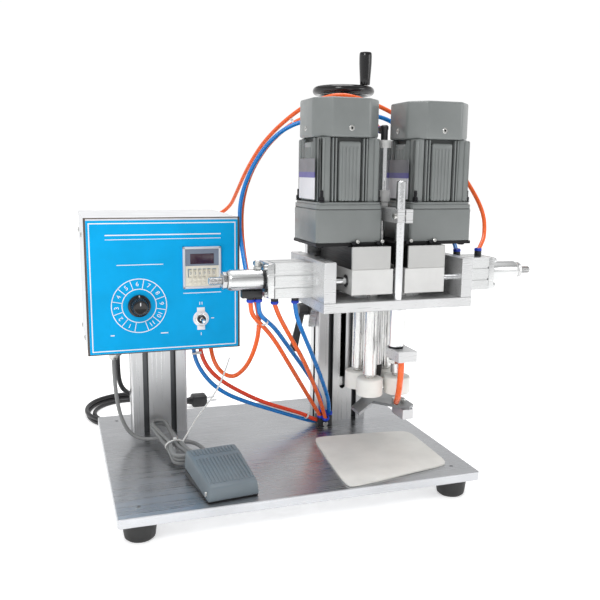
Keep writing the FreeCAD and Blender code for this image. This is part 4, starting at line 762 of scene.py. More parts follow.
def add_mat():
    """Thin silicone sheet that lies a little wavy on the plate."""
    mat = Shape()
    n, thickness, middle = 28, 2.0, (MAT_CORNERS[0] + MAT_CORNERS[2]) / 2
    grids = []
    for lift in (0.15, 0.15 + thickness):
        rows = []
        for j in range(n + 1):
            row = []
            for i in range(n + 1):
                u, v = i / n, j / n
                at = MAT_CORNERS[0].lerp(MAT_CORNERS[1], u).lerp(MAT_CORNERS[3].lerp(MAT_CORNERS[2], u), v)
                round_corner = 0.06 * (2 * u - 1) ** 8 * (2 * v - 1) ** 8
                at = at.lerp(middle, round_corner)
                wave = 0.22 * (1 + math.sin(9 * u + 2.0) * math.cos(5 * v))
                row.append(mat.bm.verts.new((at.x, at.y, DECK + lift + wave)))
            rows.append(row)
        grids.append(rows)
    low, high = grids
    for j in range(n):
        for i in range(n):
            mat.bm.faces.new((low[j][i], low[j + 1][i], low[j + 1][i + 1], low[j][i + 1]))
            mat.bm.faces.new((high[j][i], high[j][i + 1], high[j + 1][i + 1], high[j + 1][i]))
    rim = ([(0, i) for i in range(n)] + [(j, n) for j in range(n)]
           + [(n, n - i) for i in range(n)] + [(n - j, 0) for j in range(n)])
    for (a, b), (c, d) in zip(rim, rim[1:] + rim[:1]):
        mat.bm.faces.new((low[a][b], low[c][d], high[c][d], high[a][b]))
    mat.finish("bottle_mat_sheet", "mat", "base", "mat_rubber", ["bottle_mat"], 60)


# ---- lead screw and handwheel -------------------------------------------
def add_screw():
    """Threaded part of the lead screw and its plain ends."""
    screw = Shape()
    screw.thread(7.0, 5.9, 4.0, (HEAD_X, SCREW_Y, 106.5), 402.0)
    screw.rod(5.0, (HEAD_X, SCREW_Y, 96.0), 12.0)
    screw.rod(4.95, (HEAD_X, SCREW_Y, COLUMN_TOP - 4), 38.0)
    screw.finish("screw_thread", "steel", "screw", "steel", ["lead_screw"])


def add_handwheel():
    """Rim, hub and three spokes, with a nut on top."""
    wheel = Shape()
    centre = (HEAD_X, SCREW_Y, COLUMN_TOP + 10.6)
    wheel.lathe([(5.0, 0), (12.0, 0), (13.5, 1.5), (13.5, 10), (12.0, 16), (11.0, 22),
                 (9.5, 23.8), (5.0, 23.8), (5.0, 0)], centre, Z, 40)
    wheel.torus(RIM_R, RIM_TUBE, (HEAD_X, SCREW_Y, WHEEL_RIM_Z))
    for i in range(3):
        a = math.radians(GRIP_ANGLE + 120 * i)
        out = Vector((math.cos(a), math.sin(a), 0.24)).normalized()
        start = Vector((HEAD_X, SCREW_Y, WHEEL_RIM_Z - 10.5)) + out * 10
        wheel.lathe([(5.4, 0), (4.6, 8), (4.0, 18), (4.4, 27), (4.4, 29)], start, out, 20)
    wheel.finish("wheel_rim", "gloss_black", "screw", "black_gloss", ["handwheel"])
    hub = Shape().hexagon(12.0, (HEAD_X, SCREW_Y, COLUMN_TOP + 33.5), 6.0)
    hub.finish("wheel_nut", "screw", "screw", "steel")


def add_grip():
    """Turning grip on the rim and its stud."""
    a = math.radians(GRIP_ANGLE)
    x, y = HEAD_X + RIM_R * math.cos(a), SCREW_Y + RIM_R * math.sin(a)
    z0 = WHEEL_RIM_Z + RIM_TUBE
    grip = Shape().lathe([(3.8, 0.6), (6.9, 0.6), (7.3, 1.6), (7.7, 10), (8.4, 20), (9.0, 30), (9.1, 40),
                          (8.9, 44), (8.0, 45.6), (5.0, 46.2), (0, 46.2)], (x, y, z0), Z, 40)
    grip.finish("grip_sleeve", "gloss_black", "grip", "black_gloss", ["handwheel_grip"])
    stud = Shape().hexagon(9.0, (x, y, z0 - 1.5), 2.0)
    stud.finish("grip_stud", "screw", "screw", "steel")


# ---- control box --------------------------------------------------------
def add_panel():
    """Blue film with a white border and print, and a dark frame of painted gap shade round it."""
    y = BOX_Y0
    film = Shape().box(BOX_X0 + 2.4, BOX_X1 - 2.4, y - 0.45, y + 0.2, BOX_Z0 + 1.2, BOX_Z1 - 3.2, 0.15, 1)
    film.finish("panel_film", "film", "base", "panel_blue")
    lines = Shape()
    inset, width = 5.4, 1.4
    x0, x1, z0, z1 = BOX_X0 + inset, BOX_X1 - inset, BOX_Z0 + inset - 1.2, BOX_Z1 - inset - 1.0
    front, back = y - 0.62, y - 0.3
    lines.panels(((x0, x1, z0, z0 + width), (x0, x1, z1 - width, z1),
                  (x0, x0 + width, z0 + width, z1 - width),
                  (x1 - width, x1, z0 + width, z1 - width)), front, back)
    dial_print(lines)
    heading(lines)
    lines.finish("panel_print", "white_print", "base", "panel_blue")
    # Painted shade of the recessed gap round the panel's rim.
    seam = Shape()
    seam.panels(((BOX_X0 - 0.4, BOX_X1 + 0.4, BOX_Z1 - 1.0, BOX_Z1 + 0.3),
                 (BOX_X0 - 0.4, BOX_X1 + 0.4, BOX_Z0 - 0.3, BOX_Z0 + 1.0),
                 (BOX_X0 - 0.4, BOX_X0 + 2.3, BOX_Z0, BOX_Z1),
                 (BOX_X1 - 2.3, BOX_X1 + 0.4, BOX_Z0, BOX_Z1)), y - 0.25, y + 3.2, 0.2, 1)
    seam.finish("panel_gap_shade", "seam", "base", "black_matte")


def dial_print(lines):
    """Ring of twelve fields with the numbers 1 to 11 round the knob."""
    at = (DIAL_X, BOX_Y0 - 0.55, DIAL_Z)
    middle, lean = (DIAL_INNER + DIAL_OUTER) / 2, 94
    for r in (DIAL_OUTER, DIAL_INNER):
        lines.lathe([(r - 0.55, -0.1), (r + 0.55, -0.1), (r + 0.55, 0.1), (r - 0.55, 0.1),
                     (r - 0.55, -0.1)], at, -Y, 90)
    for i in range(12):
        a = math.radians(lean - 15 - 30 * i)
        spoke = Matrix.Translation(Vector(at)) @ FACING_FRONT @ Matrix.Rotation(a, 4, "Z")
        lines.box(DIAL_INNER, DIAL_OUTER, -0.45, 0.45, -0.1, 0.1, turn=spoke)
    for number in range(1, 12):
        a = math.radians(lean - 30 * (number - 6))
        x, z = DIAL_X + middle * math.cos(a), DIAL_Z + middle * math.sin(a)
        tilt = FACING_FRONT @ Matrix.Rotation(a - math.pi / 2, 4, "Z")
        lines.words(str(number), 8.6, (x, BOX_Y0 - 0.55, z), tilt)


def heading(lines):
    """Plain rules where a maker would print titles, and marks for less, more, on and off."""
    lines.panels(((-222, -66, 336.5, 338.0), (-222, -66, 331.0, 331.8), (-208, -146, 296.5, 297.5),
                  (-119, -66, 255.0, 256.0), (-218.5, -213.5, 200.5, 202.0),
                  (-151.0, -141.0, 200.5, 202.0), (-97.0, -96.0, 238.5, 242.5),
                  (-93.8, -92.8, 238.5, 242.5), (-80.5, -76.5, 218.2, 219.4),
                  (-95.4, -94.4, 195.0, 199.0)), BOX_Y0 - 0.62, BOX_Y0 - 0.3)


def add_knob():
    """Fluted tension knob with a white mark."""
    knob = Shape()
    at = (DIAL_X, BOX_Y0 - 0.9, DIAL_Z)
    knob.lathe([(3, 0), (15.3, 0), (15.5, 0.8), (15.1, 3.4), (12.6, 4.2), (11.6, 6.0),
                (10.6, 15.2), (9.6, 16.6), (7.8, 17.0), (7.2, 16.6), (0, 16.6)], at, -Y, 60)
    for i in range(24):
        a = 2 * math.pi * i / 24
        c = Vector((DIAL_X + 11.2 * math.cos(a), 0, DIAL_Z + 11.2 * math.sin(a)))
        knob.lathe([(0.7, 5.5), (0.55, 15), (0, 15.4)], (c.x, BOX_Y0 - 0.9, c.z), -Y, 8)
    knob.finish("knob_cap", "gloss_black", "dial", "black_gloss", ["dial_knob"])
    mark = Shape()
    for front, back, z0, z1 in ((5.2, 4.6, 11.5, 14.6), (17.8, 17.3, 2.5, 7.0)):
        mark.box(DIAL_X - 0.7, DIAL_X + 0.7, BOX_Y0 - front, BOX_Y0 - back,
                 DIAL_Z + z0, DIAL_Z + z1, 0.2, 1)
    mark.finish("knob_mark", "white_print", "dial", "black_gloss")


def add_timer():
    """Timer case with its window, key field and six openings for the digit wheels."""
    x, z, y = TIMER_X, TIMER_Z, BOX_Y0
    bezel = Shape()
    outer, tall, rim = 26.5, 29.0, 3.2
    bezel.panels(((x - outer, x + outer, z + tall - rim, z + tall),
                  (x - outer, x + outer, z - tall, z - tall + rim),
                  (x - outer, x - outer + rim, z - tall, z + tall),
                  (x + outer - rim, x + outer, z - tall, z + tall)), y - 5.0, y + 0.1, 0.8, 2)
    bezel.finish("timer_bezel", "bezel", "base", "black_matte", ["timer_case"])
    face = Shape().box(x - 23.5, x + 23.5, y - 3.6, y + 0.1, z + 2.6, z + 26.0, 0.3, 1)
    face.finish("timer_face", "slate", "base", "black_matte")
    window = Shape().box(x - 16.5, x + 16.5, y - 4.0, y - 3.2, z + 5.2, z + 19.4, 0.3, 1)
    window.finish("timer_window", "display", "base", "black_matte")
    lower = Shape()
    frames = [(x - 23.5, x + 23.5, z - 1.4, z + 2.6), (x - 23.5, x + 23.5, z - 25.8, z - 13.5),
              (x - 23.5, x - 19.6, z - 13.5, z - 1.4), (x + 19.6, x + 23.5, z - 13.5, z - 1.4)]
    bars = [x - 19.6 + DIGIT_PITCH * i for i in range(1, DIGIT_COUNT)]
    frames += [(bar - 0.9, bar + 0.9, z - 13.5, z - 1.4) for bar in bars]
    lower.panels(frames, y - 3.8, y + 0.1, 0.25, 1)
    for i in range(DIGIT_COUNT):
        cx = x - 16.35 + DIGIT_PITCH * i
        for cz in (z - 16.5, z - 21.5):
            lower.box(cx - 2.1, cx + 2.1, y - 4.9, y - 3.4, cz - 1.7, cz + 1.7, 0.5, 2)
    lower.finish("timer_keys", "cream", "base", "black_matte")


def add_digit_wheels():
    """Six wheels with the digits 0 to 9 round each."""
    wheels, digits = Shape(), Shape()
    axle_y, axle_z = BOX_Y0 + 9.0, TIMER_Z - 9.0
    for i in range(DIGIT_COUNT):
        x = TIMER_X - 18.6 + DIGIT_PITCH * i
        wheels.ring(11.6, 2.0, (x, axle_y, axle_z), 5.4, X, 0.3, 40)
        for k in range(10):
            a = math.radians(36 * (k - (3 * i) % 10)) + math.radians(6)
            at = (x + 2.7, axle_y - 11.65 * math.cos(a), axle_z + 11.65 * math.sin(a))
            tilt = Matrix.Rotation(-a, 4, "X") @ FACING_FRONT
            digits.words(str(k), 5.4, at, tilt, 0.06)
    wheels.finish("digit_wheels", "cream", "digits", "black_gloss", ["timer_wheels"])
    digits.finish("digit_print", "slate", "digits", "black_gloss")


def add_switch():
    """Toggle with its plate, threaded neck, nut and bat."""
    x, y, z = SWITCH_X, BOX_Y0, SWITCH_Z
    plate = Shape()
    plate.lathe([(6.1, 0), (11.0, 0), (11.2, 0.3), (11.0, 0.9), (6.1, 0.9)], (x, y - 0.4, z), -Y, 48)
    for a, b in ((z + 9, z + 16.0), (z - 16.0, z - 9)):
        plate.box(x - 5.5, x + 5.5, y - 1.3, y - 0.4, a, b, 0.4, 2)
    plate.finish("switch_plate", "white_print", "base", "bright_steel")
    nut = Shape()
    nut.hexagon(14.0, (x, y - 1.3, z), 2.6, -Y, 5.9)
    nut.thread(5.95, 5.4, 1.0, (x, y - 3.5, z), 4.4, -Y, 24)
    nut.ring(5.4, 3.9, (x, y - 0.5, z), 7.4, -Y)
    nut.ring(7.6, 5.9, (x, y - 3.9, z), 1.3, -Y)
    nut.finish("switch_nut", "chrome", "base", "bright_steel")
    bat = Shape()
    bat.lathe([(0, -3.5), (2.9, -3.2), (4.3, 0), (3.2, 2.6), (1.9, 3.6), (2.0, 8.0), (2.7, 14.5),
               (2.8, 16.4), (2.0, 17.8), (0, 18.3)], (x, y - 5.0, z), -Y, 28)
    bat.finish("switch_bat", "chrome", "toggle", "bright_steel", ["toggle_lever"])


def add_box_details():
    """Cable glands and the air block with its push-in collars."""
    metal, dark, blue = Shape(), Shape(), Shape()
    for x, y, r in GLANDS:
        metal.hexagon(2 * r + 5, (x, y, BOX_Z0 - 7.0), 6.8, Z, r - 2.4)
        metal.lathe([(r - 2.4, 0), (r - 1.2, 0), (r + 0.6, 2.5), (r + 1.0, 4), (r + 1.0, 8.2)],
                    (x, y, BOX_Z0 - 15.2), Z, 32)
        metal.thread(r, r - 0.5, 1.5, (x, y, BOX_Z0 - 8.2), 2.0, Z, 24)
    dark.box(86.5, 109.5, 40.5, 58.5, DECK, DECK + 16.0, 1.0, 2)
    tilt = (-Y * 0.55 + Z * 0.835).normalized()
    ports = [((90.5, 44.0, DECK + 14.0), tilt), ((98.5, 42.5, DECK + 9.0), tilt),
             ((106.0, 50.0, DECK + 14.0), tilt), ((98.0, 53.5, DECK + 15.0), Z)]
    for at, axis in ports:
        dark.ring(5.0, 3.1, at, 3.6, axis)
        blue.lathe([(3.1, 3.4), (5.6, 3.4), (6.0, 4.4), (5.6, 6.8), (4.8, 7.4), (3.1, 7.4)], at, axis, 32)
    metal.rod(4.0, (98.5, 41.5, DECK + 3.6), 2.4, -Y)
    metal.finish("box_glands", "screw", "base", "steel", ["glands_and_manifold"])
    dark.finish("air_block", "black", "base", "black_matte", ["glands_and_manifold"])
    blue.finish("air_block_collars", "collar", "base", "black_matte")


# ---- head ---------------------------------------------------------------
def octagon(cx, cy, half, flat):
    """Square with cut corners: half its width, and where its flat sides end."""
    h, k = half, flat
    return [(cx - h, cy - k), (cx - k, cy - h), (cx + k, cy - h), (cx + h, cy - k),
            (cx + h, cy + k), (cx + k, cy + h), (cx - k, cy + h), (cx - h, cy + k)]


def quarter_turns(cx, cy):
    """The four turns about a motor's axis that copy its front onto its other sides."""
    to, back = Matrix.Translation((cx, cy, 0)), Matrix.Translation((-cx, -cy, 0))
    return [to @ Matrix.Rotation(math.pi / 2 * i, 4, "Z") @ back for i in range(4)]


def finish_on_slide(side, shape, name, material, slot="motor_grey", replaces=()):
    """Finishes a piece that moves with the left or the right slide."""
    shape.finish(side + "_" + name, material, side + "_slide", slot, replaces)


def add_motor(side, sign):
    """Ribbed motor over a core painted dark as the shade between its ribs, with gearbox, flange and
    eight-sided cover.
    """
    cx, cy = HEAD_X + sign * MOTOR_DX, HEAD_Y
    # The core is painted shade, seen in the gaps between the ribs and fins.
    core = Shape()
    core.prism(octagon(cx, cy, 36.0, 31.0), FLANGE_Z1, FRAME_Z1, 1.0, 2)
    finish_on_slide(side, core, "motor_core", "motor_dark")
    body = Shape()
    front, rib_pitch, rib_width = cy - 42.0, 4.8, 2.4
    for turn in quarter_turns(cx, cy):
        body.box(cx - 14.5, cx + 14.5, front, cy - 34, FLANGE_Z1 + 1.0, FRAME_Z1 - 5.0, 3.0, 4, turn)
        for i in range(5):
            rib = cx - 10.8 + rib_pitch * i
            body.box(rib, rib + rib_width, front - 0.8, front + 1, FLANGE_Z1 + 1.5, FRAME_Z1 - 12.0,
                     0.7, 2, turn)
        for fin in (-22.6, -18.6, 18.6, 22.6):
            body.box(cx + fin - 0.9, cx + fin + 0.9, front + 0.6, cy - 34, FLANGE_Z1 + 1.0,
                     FRAME_Z1 - 1.0, 0.6, 2, turn)
        for sign_x in (-1, 1):
            low, high = sorted((cx + sign_x * 25.2, cx + sign_x * 36.0))
            body.box(low, high, front + 3.2, cy - 33, FLANGE_Z1, FRAME_Z1, 1.2, 2, turn)
            low, high = sorted((cx + sign_x * 34.6, cx + sign_x * 41.0))
            body.box(low, high, cy - 41.0, cy - 33, FLANGE_Z1, FRAME_Z1 - 1.0, 2.4, 4, turn)
    body.prism(octagon(cx, cy, MOTOR_HALF, 42.0), GEARBOX_Z0, GEARBOX_Z1 - 0.4, 1.4, 3)
    body.prism(octagon(cx, cy, MOTOR_HALF - 0.6, 41.5), GEARBOX_Z1 + 0.3, FLANGE_Z1 - 3.2, 1.0, 3)
    body.prism(octagon(cx, cy, MOTOR_HALF - 2.0, 40.0), FLANGE_Z1 - 3.6, FLANGE_Z1, 1.0, 3)
    body.prism(octagon(cx, cy, MOTOR_HALF, 25.0), FRAME_Z1, COVER_Z1, 3.2, 4)
    finish_on_slide(side, body, "motor_body", "motor", replaces=[side + "_motor", side + "_gearbox"])
    add_motor_trim(side, cx, cy)
    add_labels(side, cx, cy)


def add_motor_trim(side, cx, cy):
    """Seam, corner bolts, screws and cooling slots of one motor."""
    seam, dark, metal = Shape(), Shape(), Shape()
    seam.prism(octagon(cx, cy, MOTOR_HALF - 1.2, 42.0), GEARBOX_Z1 - 0.8, GEARBOX_Z1 + 0.8)
    for turn in quarter_turns(cx, cy):
        at = turn @ Vector((cx - 37.0, cy - 41.2, FLANGE_Z1))
        dark.rod(3.8, at, 1.6)
        dark.hexagon(6.2, at + Vector((0, 0, 1.6)), 5.0)
        dark.rod(2.0, at + Vector((0, 0, 6.6)), 8.0)
        under = turn @ Vector((cx - 36.0, cy - 36.0, GEARBOX_Z0 - 6.0))
        dark.rod(4.5, under, 6.0)
        outward = (turn.to_3x3() @ -Y).normalized()
        screw = turn @ Vector((cx, cy - MOTOR_HALF + 0.4, FRAME_Z1 + 11.0))
        metal.lathe([(3.6, -1.2), (3.6, 0.6), (3.0, 1.1), (1.4, 1.1), (1.4, 0.4), (0, 0.4)],
                    screw, outward, 24)
    for dx in (10.0, 44.0):
        x = cx + dx if side == "left" else cx - dx
        metal.lathe([(2.6, 0), (2.6, 2.2), (2.0, 2.8), (1.1, 2.8), (1.1, 1.6), (0, 1.6)],
                    (x, cy - MOTOR_HALF - 1.2, GEARBOX_Z0 + 1.5), -Y, 24)
        dark.rod(2.6, (x - 5.5, cy - MOTOR_HALF - 1.2, GEARBOX_Z0 - 0.5), 3.0, -Y)
    # The cooling slots are flush strips of painted shade on the cover's top.
    vents = Shape()
    for i in range(18):
        a = 2 * math.pi * i / 18
        at = Matrix.Translation((cx, cy, COVER_Z1)) @ Matrix.Rotation(a, 4, "Z")
        vents.box(14, 32, -1.6, 1.6, -0.3, 0.12, turn=at)
    finish_on_slide(side, vents, "motor_vents", "motor_dark")
    finish_on_slide(side, seam, "motor_seam", "motor_dark")
    finish_on_slide(side, dark, "motor_bolts", "black_steel")
    finish_on_slide(side, metal, "motor_screws", "screw", "steel")


def add_labels(side, cx, cy):
    """Blank rating plate with a grey head and a coloured band, on the motor's left side."""
    plate, band, head = Shape(), Shape(), Shape()
    x, z = cx - 43.2, FLANGE_Z1
    plate.box(x, x + 1.2, cy - 30, cy + 30, z + 3, z + 31, 0.3, 1)
    band.box(x - 0.15, x + 1.0, cy - 30, cy + 30, z + 30, z + 37)
    head.box(x, x + 1.2, cy - 30, cy + 30, z + 36.5, z + 54, 0.3, 1)
    finish_on_slide(side, plate, "motor_plate", "label")
    finish_on_slide(side, band, "motor_band", "label_band")
    finish_on_slide(side, head, "motor_plate_head", "label_head")


def add_cylinder(side, sign):
    """Square air cylinder with grooves, corner screws, round adjuster and lock nut."""
    wall, out = HEAD_X + sign * HEAD_HALF, X * sign

    def along(distance):
        return wall + sign * distance, HEAD_Y, AIR_Z

    body, metal, dark = Shape(), Shape(), Shape()
    turn = turned_to(along(0), out)
    half, groove, body_end, cap_end, screw_at = CYLINDER_HALF, 2.2, 51.0, 60.0, 17.5
    outline = []
    for i in range(4):
        a = math.pi / 2 * i
        c, s = math.cos(a), math.sin(a)
        edge = [(-half, -half)]
        for start, end in ((-9.5, -6.5), (6.5, 9.5)):
            edge += [(start, -half), (start, -half + groove), (end, -half + groove), (end, -half)]
        outline += [(u * c - v * s, u * s + v * c) for u, v in edge]
    body.prism(outline, 0.0, body_end, turn=turn)
    body.box(-half, half, -half, half, body_end + 0.4, cap_end, 1.2, 3, turn)
    body.finish(side + "_cylinder_body", "cylinder", "carriage", "block_brushed", ["air_cylinders"])
    metal.lathe([(0, 63), (12.5, 63), (13.5, 64), (13.5, 104), (12.0, 107.5), (11.0, 108.5),
                 (0, 108.5)], along(0), out, 48)
    for u in (-screw_at, screw_at):
        for v in (-screw_at, screw_at):
            at = turn @ Vector((u, v, cap_end))
            metal.ring(3.6, 1.9, at, 4.4, out, 0.5, 24)
            dark.rod(1.9, at, 2.0, out)
    dark.ring(12.6, 5.0, along(cap_end), 3.4, out)
    metal.finish(side + "_cylinder_metal", "cylinder", "carriage", "block_brushed", ["air_cylinders"])
    dark.finish(side + "_cylinder_gap", "black", "carriage", "block_brushed")
    nut = Shape()
    nut.lathe([(5.0, 109.0), (10.4, 109.0), (11.2, 109.8), (11.2, 114.0), (10.0, 115.0),
               (5.0, 115.0)], along(0), out, 8)
    nut.thread(5.0, 4.3, 1.25, along(112.0), 19.0, out)
    nut.rod(4.4, along(70.0), 61.6, out)
    nut.rod(6.0, along(-25.0), 20.0, out)
    finish_on_slide(side, nut, "adjuster", "steel", "bright_steel", [side + "_piston"])
    rods = Shape().rod(6.0, along(-53.0), 52.0, out)
    finish_on_slide(side, rods, "piston_rod", "chrome", "bright_steel", [side + "_piston"])


def add_guide_bores(side, sign):
    """Dark bores where the guide rods enter the slide's block."""
    dark = Shape()
    for dy in (-38.0, 38.0):
        dark.ring(8.0, 5.3, (HEAD_X + sign * 65.6, HEAD_Y + dy, AIR_Z), 0.7, X * sign)
    finish_on_slide(side, dark, "guide_bores", "black", "block_brushed")


def add_press_cylinder():
    """Slim press cylinder between the motors."""
    x, y = HEAD_X, HEAD_Y
    barrel, caps = Shape(), Shape()
    barrel.rod(8.0, (x, y, 399.5), 56.0)
    barrel.finish("press_barrel", "chrome", "carriage", "block_brushed", ["air_cylinders"])
    caps.lathe([(0, 377.8), (5.0, 377.8), (5.0, PRESS_Z0), (9.6, PRESS_Z0), (10.0, 386), (10.0, 399),
                (9.4, 400), (0, 400)], (x, y, 0), Z, 40)
    caps.lathe([(0, 455), (9.6, 455), (10.0, 456), (10.0, 463.5), (9.0, 465), (0, 465)], (x, y, 0), Z, 40)
    caps.hexagon(15.0, (x, y, 378.1), 6.6)
    caps.finish("press_caps", "blasted", "carriage", "block_brushed", ["air_cylinders"])


def push_in(black, blue, at, axis, body=7.0):
    """Push-in fitting: a black body of some length and its blue collar."""
    black.lathe([(1.8, 0), (4.8, 0), (5.0, 1.0), (5.0, body - 0.5), (4.4, body), (3.1, body)],
                at, axis, 28)
    start = Vector(at) + axis * body
    blue.lathe([(3.1, 0), (5.0, 0), (5.4, 1.0), (5.0, 3.4), (4.2, 4.0), (3.1, 4.0)], start, axis, 28)


def add_fittings():
    """Push-in fittings of the cylinders, the tee on the left one and its valve."""
    black, blue, metal = Shape(), Shape(), Shape()
    x0, x1 = HEAD_X - HEAD_HALF, HEAD_X + HEAD_HALF
    under, over = AIR_Z - CYLINDER_HALF, AIR_Z + CYLINDER_HALF
    push_in(black, blue, (x0 - 45, HEAD_Y, under), -Z)
    push_in(black, blue, (x0 - 17, HEAD_Y, under), -Z)
    for dx in (12, 46):
        push_in(black, blue, (x1 + dx, HEAD_Y, over - 0.2), Z)
    black.box(x0 - 90, x0 - 62, HEAD_Y - 5.5, HEAD_Y + 5.5, 262.5, 272.4, 1.6, 3)
    for dx in (-77.5, -67.0):
        push_in(black, blue, (x0 + dx, HEAD_Y, 263.5), -Z, 3.2)
    push_in(black, blue, (x0 - 72.5, HEAD_Y + 5.0, 267.0), Y, 3.0)
    black.lathe([(0, 0), (4.6, 0), (4.6, 14), (5.2, 15), (5.2, 19), (3.4, 20.6), (0, 20.6)],
                (HEAD_X, HEAD_Y, PRESS_Z1 - 1.0), Z, 28)
    push_in(black, blue, (HEAD_X, HEAD_Y + 2, PRESS_Z1 + 14), Y, 8.0)
    metal.hexagon(10.0, (x0 - 68, HEAD_Y, AIR_Z + 13.0), 4.0)
    metal.rod(4.2, (x0 - 68, HEAD_Y, AIR_Z + 17.0), 6.5)
    metal.ring(3.8, 1.6, (x0 - 68, HEAD_Y + 2, AIR_Z + 20.0), 8.0, Y)
    black.finish("fitting_bodies", "black", "carriage", "black_matte", ["tube_fittings"])
    blue.finish("fitting_collars", "collar", "carriage", "black_matte", ["tube_fittings"])
    metal.finish("fitting_valve", "screw", "carriage", "steel", ["tube_fittings"])


def add_rollers():
    """Four soft tyres with the nuts that hold them."""
    for side, sign in SIDES:
        for end, back in (("front", -1), ("rear", 1)):
            x, y = HEAD_X + sign * ROLLER_DX, HEAD_Y + back * ROLLER_DY
            body = "%s_%s_roller" % (side, end)
            tyre = Shape().lathe([(4.4, 0), (16.6, 0), (17.6, 0.6), (18.0, 2.0), (18.0, 21.6),
                                  (17.4, 23.2), (16.2, 24.0), (4.4, 24.0)], (x, y, TYRE_Z), Z, 56)
            tyre.finish("%s_%s_tyre" % (side, end), "wheel", body, "wheel_white",
                         ["%s_%s_wheel" % (side, end)])
            nut = Shape()
            nut.lathe([(4.2, 0), (6.6, 0), (7.0, 0.6), (7.0, 3.2), (6.6, 4.1), (4.2, 4.1)],
                      (x, y, TYRE_Z + 23.8), Z, 28)
            nut.rod(5.5, (x, y, TYRE_Z - 1.4), 3.0)
            nut.finish("%s_%s_nut" % (side, end), "screw", body, "steel")


def add_press():
    """Press stem, with its piston and soft tip."""
    rod, tip = Shape(), Shape()
    x, y = HEAD_X, HEAD_Y
    rod.rod(4.5, (x, y, 152), 195.0)
    rod.rod(2.9, (x, y, 340), 92.0)
    rod.rod(6.9, (x, y, 432), 10.0)
    rod.finish("press_stem", "steel", "press", "bright_steel", ["press_plunger"])
    tip.lathe([(0, 142.0), (3.9, 142.0), (4.7, 142.8), (6.2, 157.0), (6.3, 160.0), (5.4, 161.0),
               (4.5, 161.0)], (x, y, 0), Z, 36)
    tip.finish("press_tip", "rubber", "press", "foot_rubber", ["press_plunger"])


def add_post_trim():
    """Dark set ring at the foot of the front post's sleeve, and its nut."""
    ring, nut = Shape(), Shape()
    ring.ring(10.0, 9.4, (HEAD_X, POST_Y, 197.2), 3.0)
    ring.finish("post_ring", "black_steel", "carriage", "steel")
    nut.hexagon(17.0, (HEAD_X, POST_Y, 183.0 - 6.0), 6.0)
    nut.finish("post_nut", "screw", "carriage", "steel")


def add_clamp():
    """Clamp lever of the slider, and the bracket's screw."""
    lever = Shape()
    x1, z = HEAD_X - 52.6, 215.0
    lever.lathe([(0, 0), (9.5, 0), (10.2, 1.0), (9.8, 6), (8.8, 13), (7.8, 14.6), (0, 15)],
                (x1, SCREW_Y, z), -X, 36)
    start, along = Vector((x1 - 8, SCREW_Y, z)), Vector((-0.2, 0.06, -1.0)).normalized()
    lever.lathe([(5.5, 0), (5.0, 8), (5.4, 30), (6.4, 58), (6.6, 64), (5.2, 67.5), (0, 68.8)],
                start, along, 32)
    lever.finish("clamp_handle", "black", "clamp", "black_gloss", ["clamp_lever"])
    screw = Shape()
    screw.rod(5.0, (HEAD_X - 52.2, COLUMN_FRONT - 12, 228.0), 3.4, -X)
    screw.hexagon(8.0, (HEAD_X - 55.4, COLUMN_FRONT - 12, 228.0), 3.0, -X)
    screw.finish("bracket_screw", "screw", "carriage", "steel")


# ---- foot pedal ---------------------------------------------------------
def turn_pedal(shape):
    """Moves a shape made round the pedal's own middle to the pedal's place."""
    turn = Matrix.Translation(PEDAL_AT) @ Matrix.Rotation(PEDAL_YAW, 4, "Z")
    bmesh.ops.transform(shape.bm, matrix=turn, verts=shape.bm.verts)


def add_pedal():
    """Wedge-shaped treadle over its tray, and the pin it turns on."""
    sections = [(-46.0, 32.5, 1.2, 20.0), (22.0, 35.4, 9.5, 32.2), (46.0, 36.0, 11.0, 34.0)]
    lean = 2.6
    treadle = Shape()
    rows = []
    for y, half, low, high in sections:
        rows.append([treadle.bm.verts.new(v) for v in (
            (-half, y, low), (half, y, low), (half - lean, y, high), (-half + lean, y, high))])
    bridge(treadle.bm, rows, caps=True)
    treadle.bevel([v for row in rows for v in row], 3.0, 4)
    add_ribs(treadle)
    turn_pedal(treadle)
    treadle.finish("treadle_shell", "pedal", "treadle", "pedal_grey", ["pedal_cover"])
    tray, pin = Shape(), Shape()
    tray.prism([(-31.5, -44.5), (31.5, -44.5), (35.0, 44.5), (-35.0, 44.5)], 0.1, 9.0, 1.2, 2)
    tray.lathe([(2.9, 0), (5.6, 0), (5.6, 3), (4.4, 8), (3.6, 14), (2.9, 14)], (0, 44.0, 8.5), Y, 24)
    turn_pedal(tray)
    tray.finish("pedal_tray", "black", "base", "black_matte", ["pedal_base"])
    pin.rod(3.2, (-33.6, -37.0, 9.0), 67.2, X)
    turn_pedal(pin)
    pin.finish("pedal_pin", "screw", "treadle", "steel")


def add_ribs(treadle):
    """Raised grip ribs on the long slope and on the short one behind the crease."""
    for start, end, z0, z1, count in ((-38.0, 17.0, 21.3, 31.6, 13), (26.0, 41.0, 32.5, 33.7, 13)):
        for i in range(count):
            x = -27.0 + 54.0 * i / (count - 1)
            low, high = Vector((x, start, z0)), Vector((x, end, z1))
            treadle.box(-1.25, 1.25, 0, (high - low).length, -1.0, 0.9, 0.45, 2,
                        turned_to(low, high - low, "Y", "Z"))


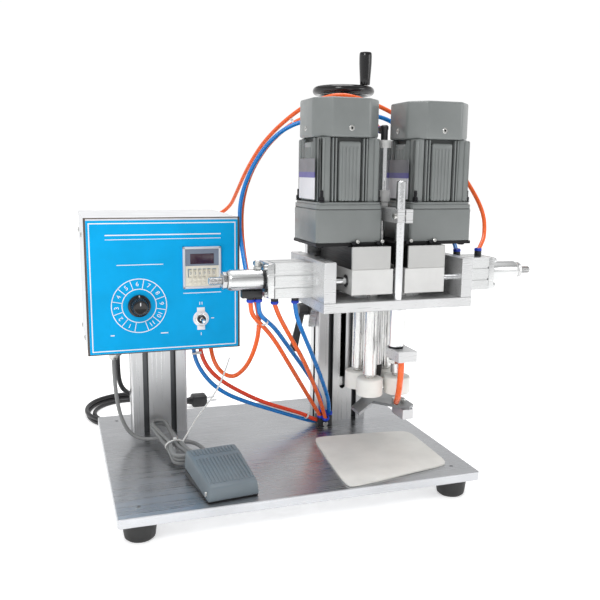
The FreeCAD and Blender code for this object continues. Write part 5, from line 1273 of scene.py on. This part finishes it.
# ---- ties ---------------------------------------------------------------
def tie(name, at, axis, size, body="base"):
    """Nylon tie: a flat oval band with its square head."""
    band = Shape()
    turn = turned_to(at, axis)
    rows = []
    for lift, grow in ((-1.2, 0.0), (1.2, 0.0), (1.2, 0.9), (-1.2, 0.9)):
        rows.append([band.bm.verts.new(turn @ Vector(((size[0] + grow) * x, (size[1] + grow) * y, lift)))
                     for x, y in circle(1.0, 32)])
    bridge(band.bm, rows + rows[:1])
    band.box(-2.2, 2.2, size[1] + 0.2, size[1] + 3.8, -2.0, 2.0, 0.5, 2, turn)
    band.finish(name, "tie", body, "mat_rubber")


def add_tie_tail():
    """Long loose end of the hank's tie, standing up in front of the column."""
    points = [(-131, -11, 55), (-124, -9, 64), (-108, -3, 87), (-84, -4, 116), (-69, 0, 143),
              (-60, 5, 166)]
    flat = [(-0.0013, -0.0005), (0.0013, -0.0005), (0.0013, 0.0005), (-0.0013, 0.0005)]
    attach(sweep("tie_tail", spline_points(points), flat, "tie"), "base")


def add_ties():
    """Nylon ties round the hank and the tubes."""
    tie("tie_hank", (-141.3, -12.5, 52.1), (20, -127, -15), (13.0, 7.6))
    add_tie_tail()
    tie("tie_bundle", (-30, -54.5, 227), (10, 8, -14), (9.0, 4.6), "carriage")
    tie("tie_loop", (49, 60.5, 491.5), (26, -11, 17), (3.6, 3.6), "carriage")
    tie("tie_box_red", (69.5, 45.75, 54.5), (15, 1.5, -9), (3.6, 3.6))
    tie("tie_box", (-96.4, 55.5, 163), (0.2, -0.4, -3), (8.5, 4.2))


def main():
    add_camera()
    add_studio()
    add_air_tubes()
    add_mains()
    add_pedal_cord()
    finish_cad_nodes()
    add_feet()
    add_mat()
    add_screw()
    add_handwheel()
    add_grip()
    add_panel()
    add_knob()
    add_timer()
    add_digit_wheels()
    add_switch()
    add_box_details()
    for side, sign in SIDES:
        add_motor(side, sign)
        add_cylinder(side, sign)
        add_guide_bores(side, sign)
    add_press_cylinder()
    add_fittings()
    add_rollers()
    add_press()
    add_post_trim()
    add_clamp()
    add_pedal()
    add_ties()


main()
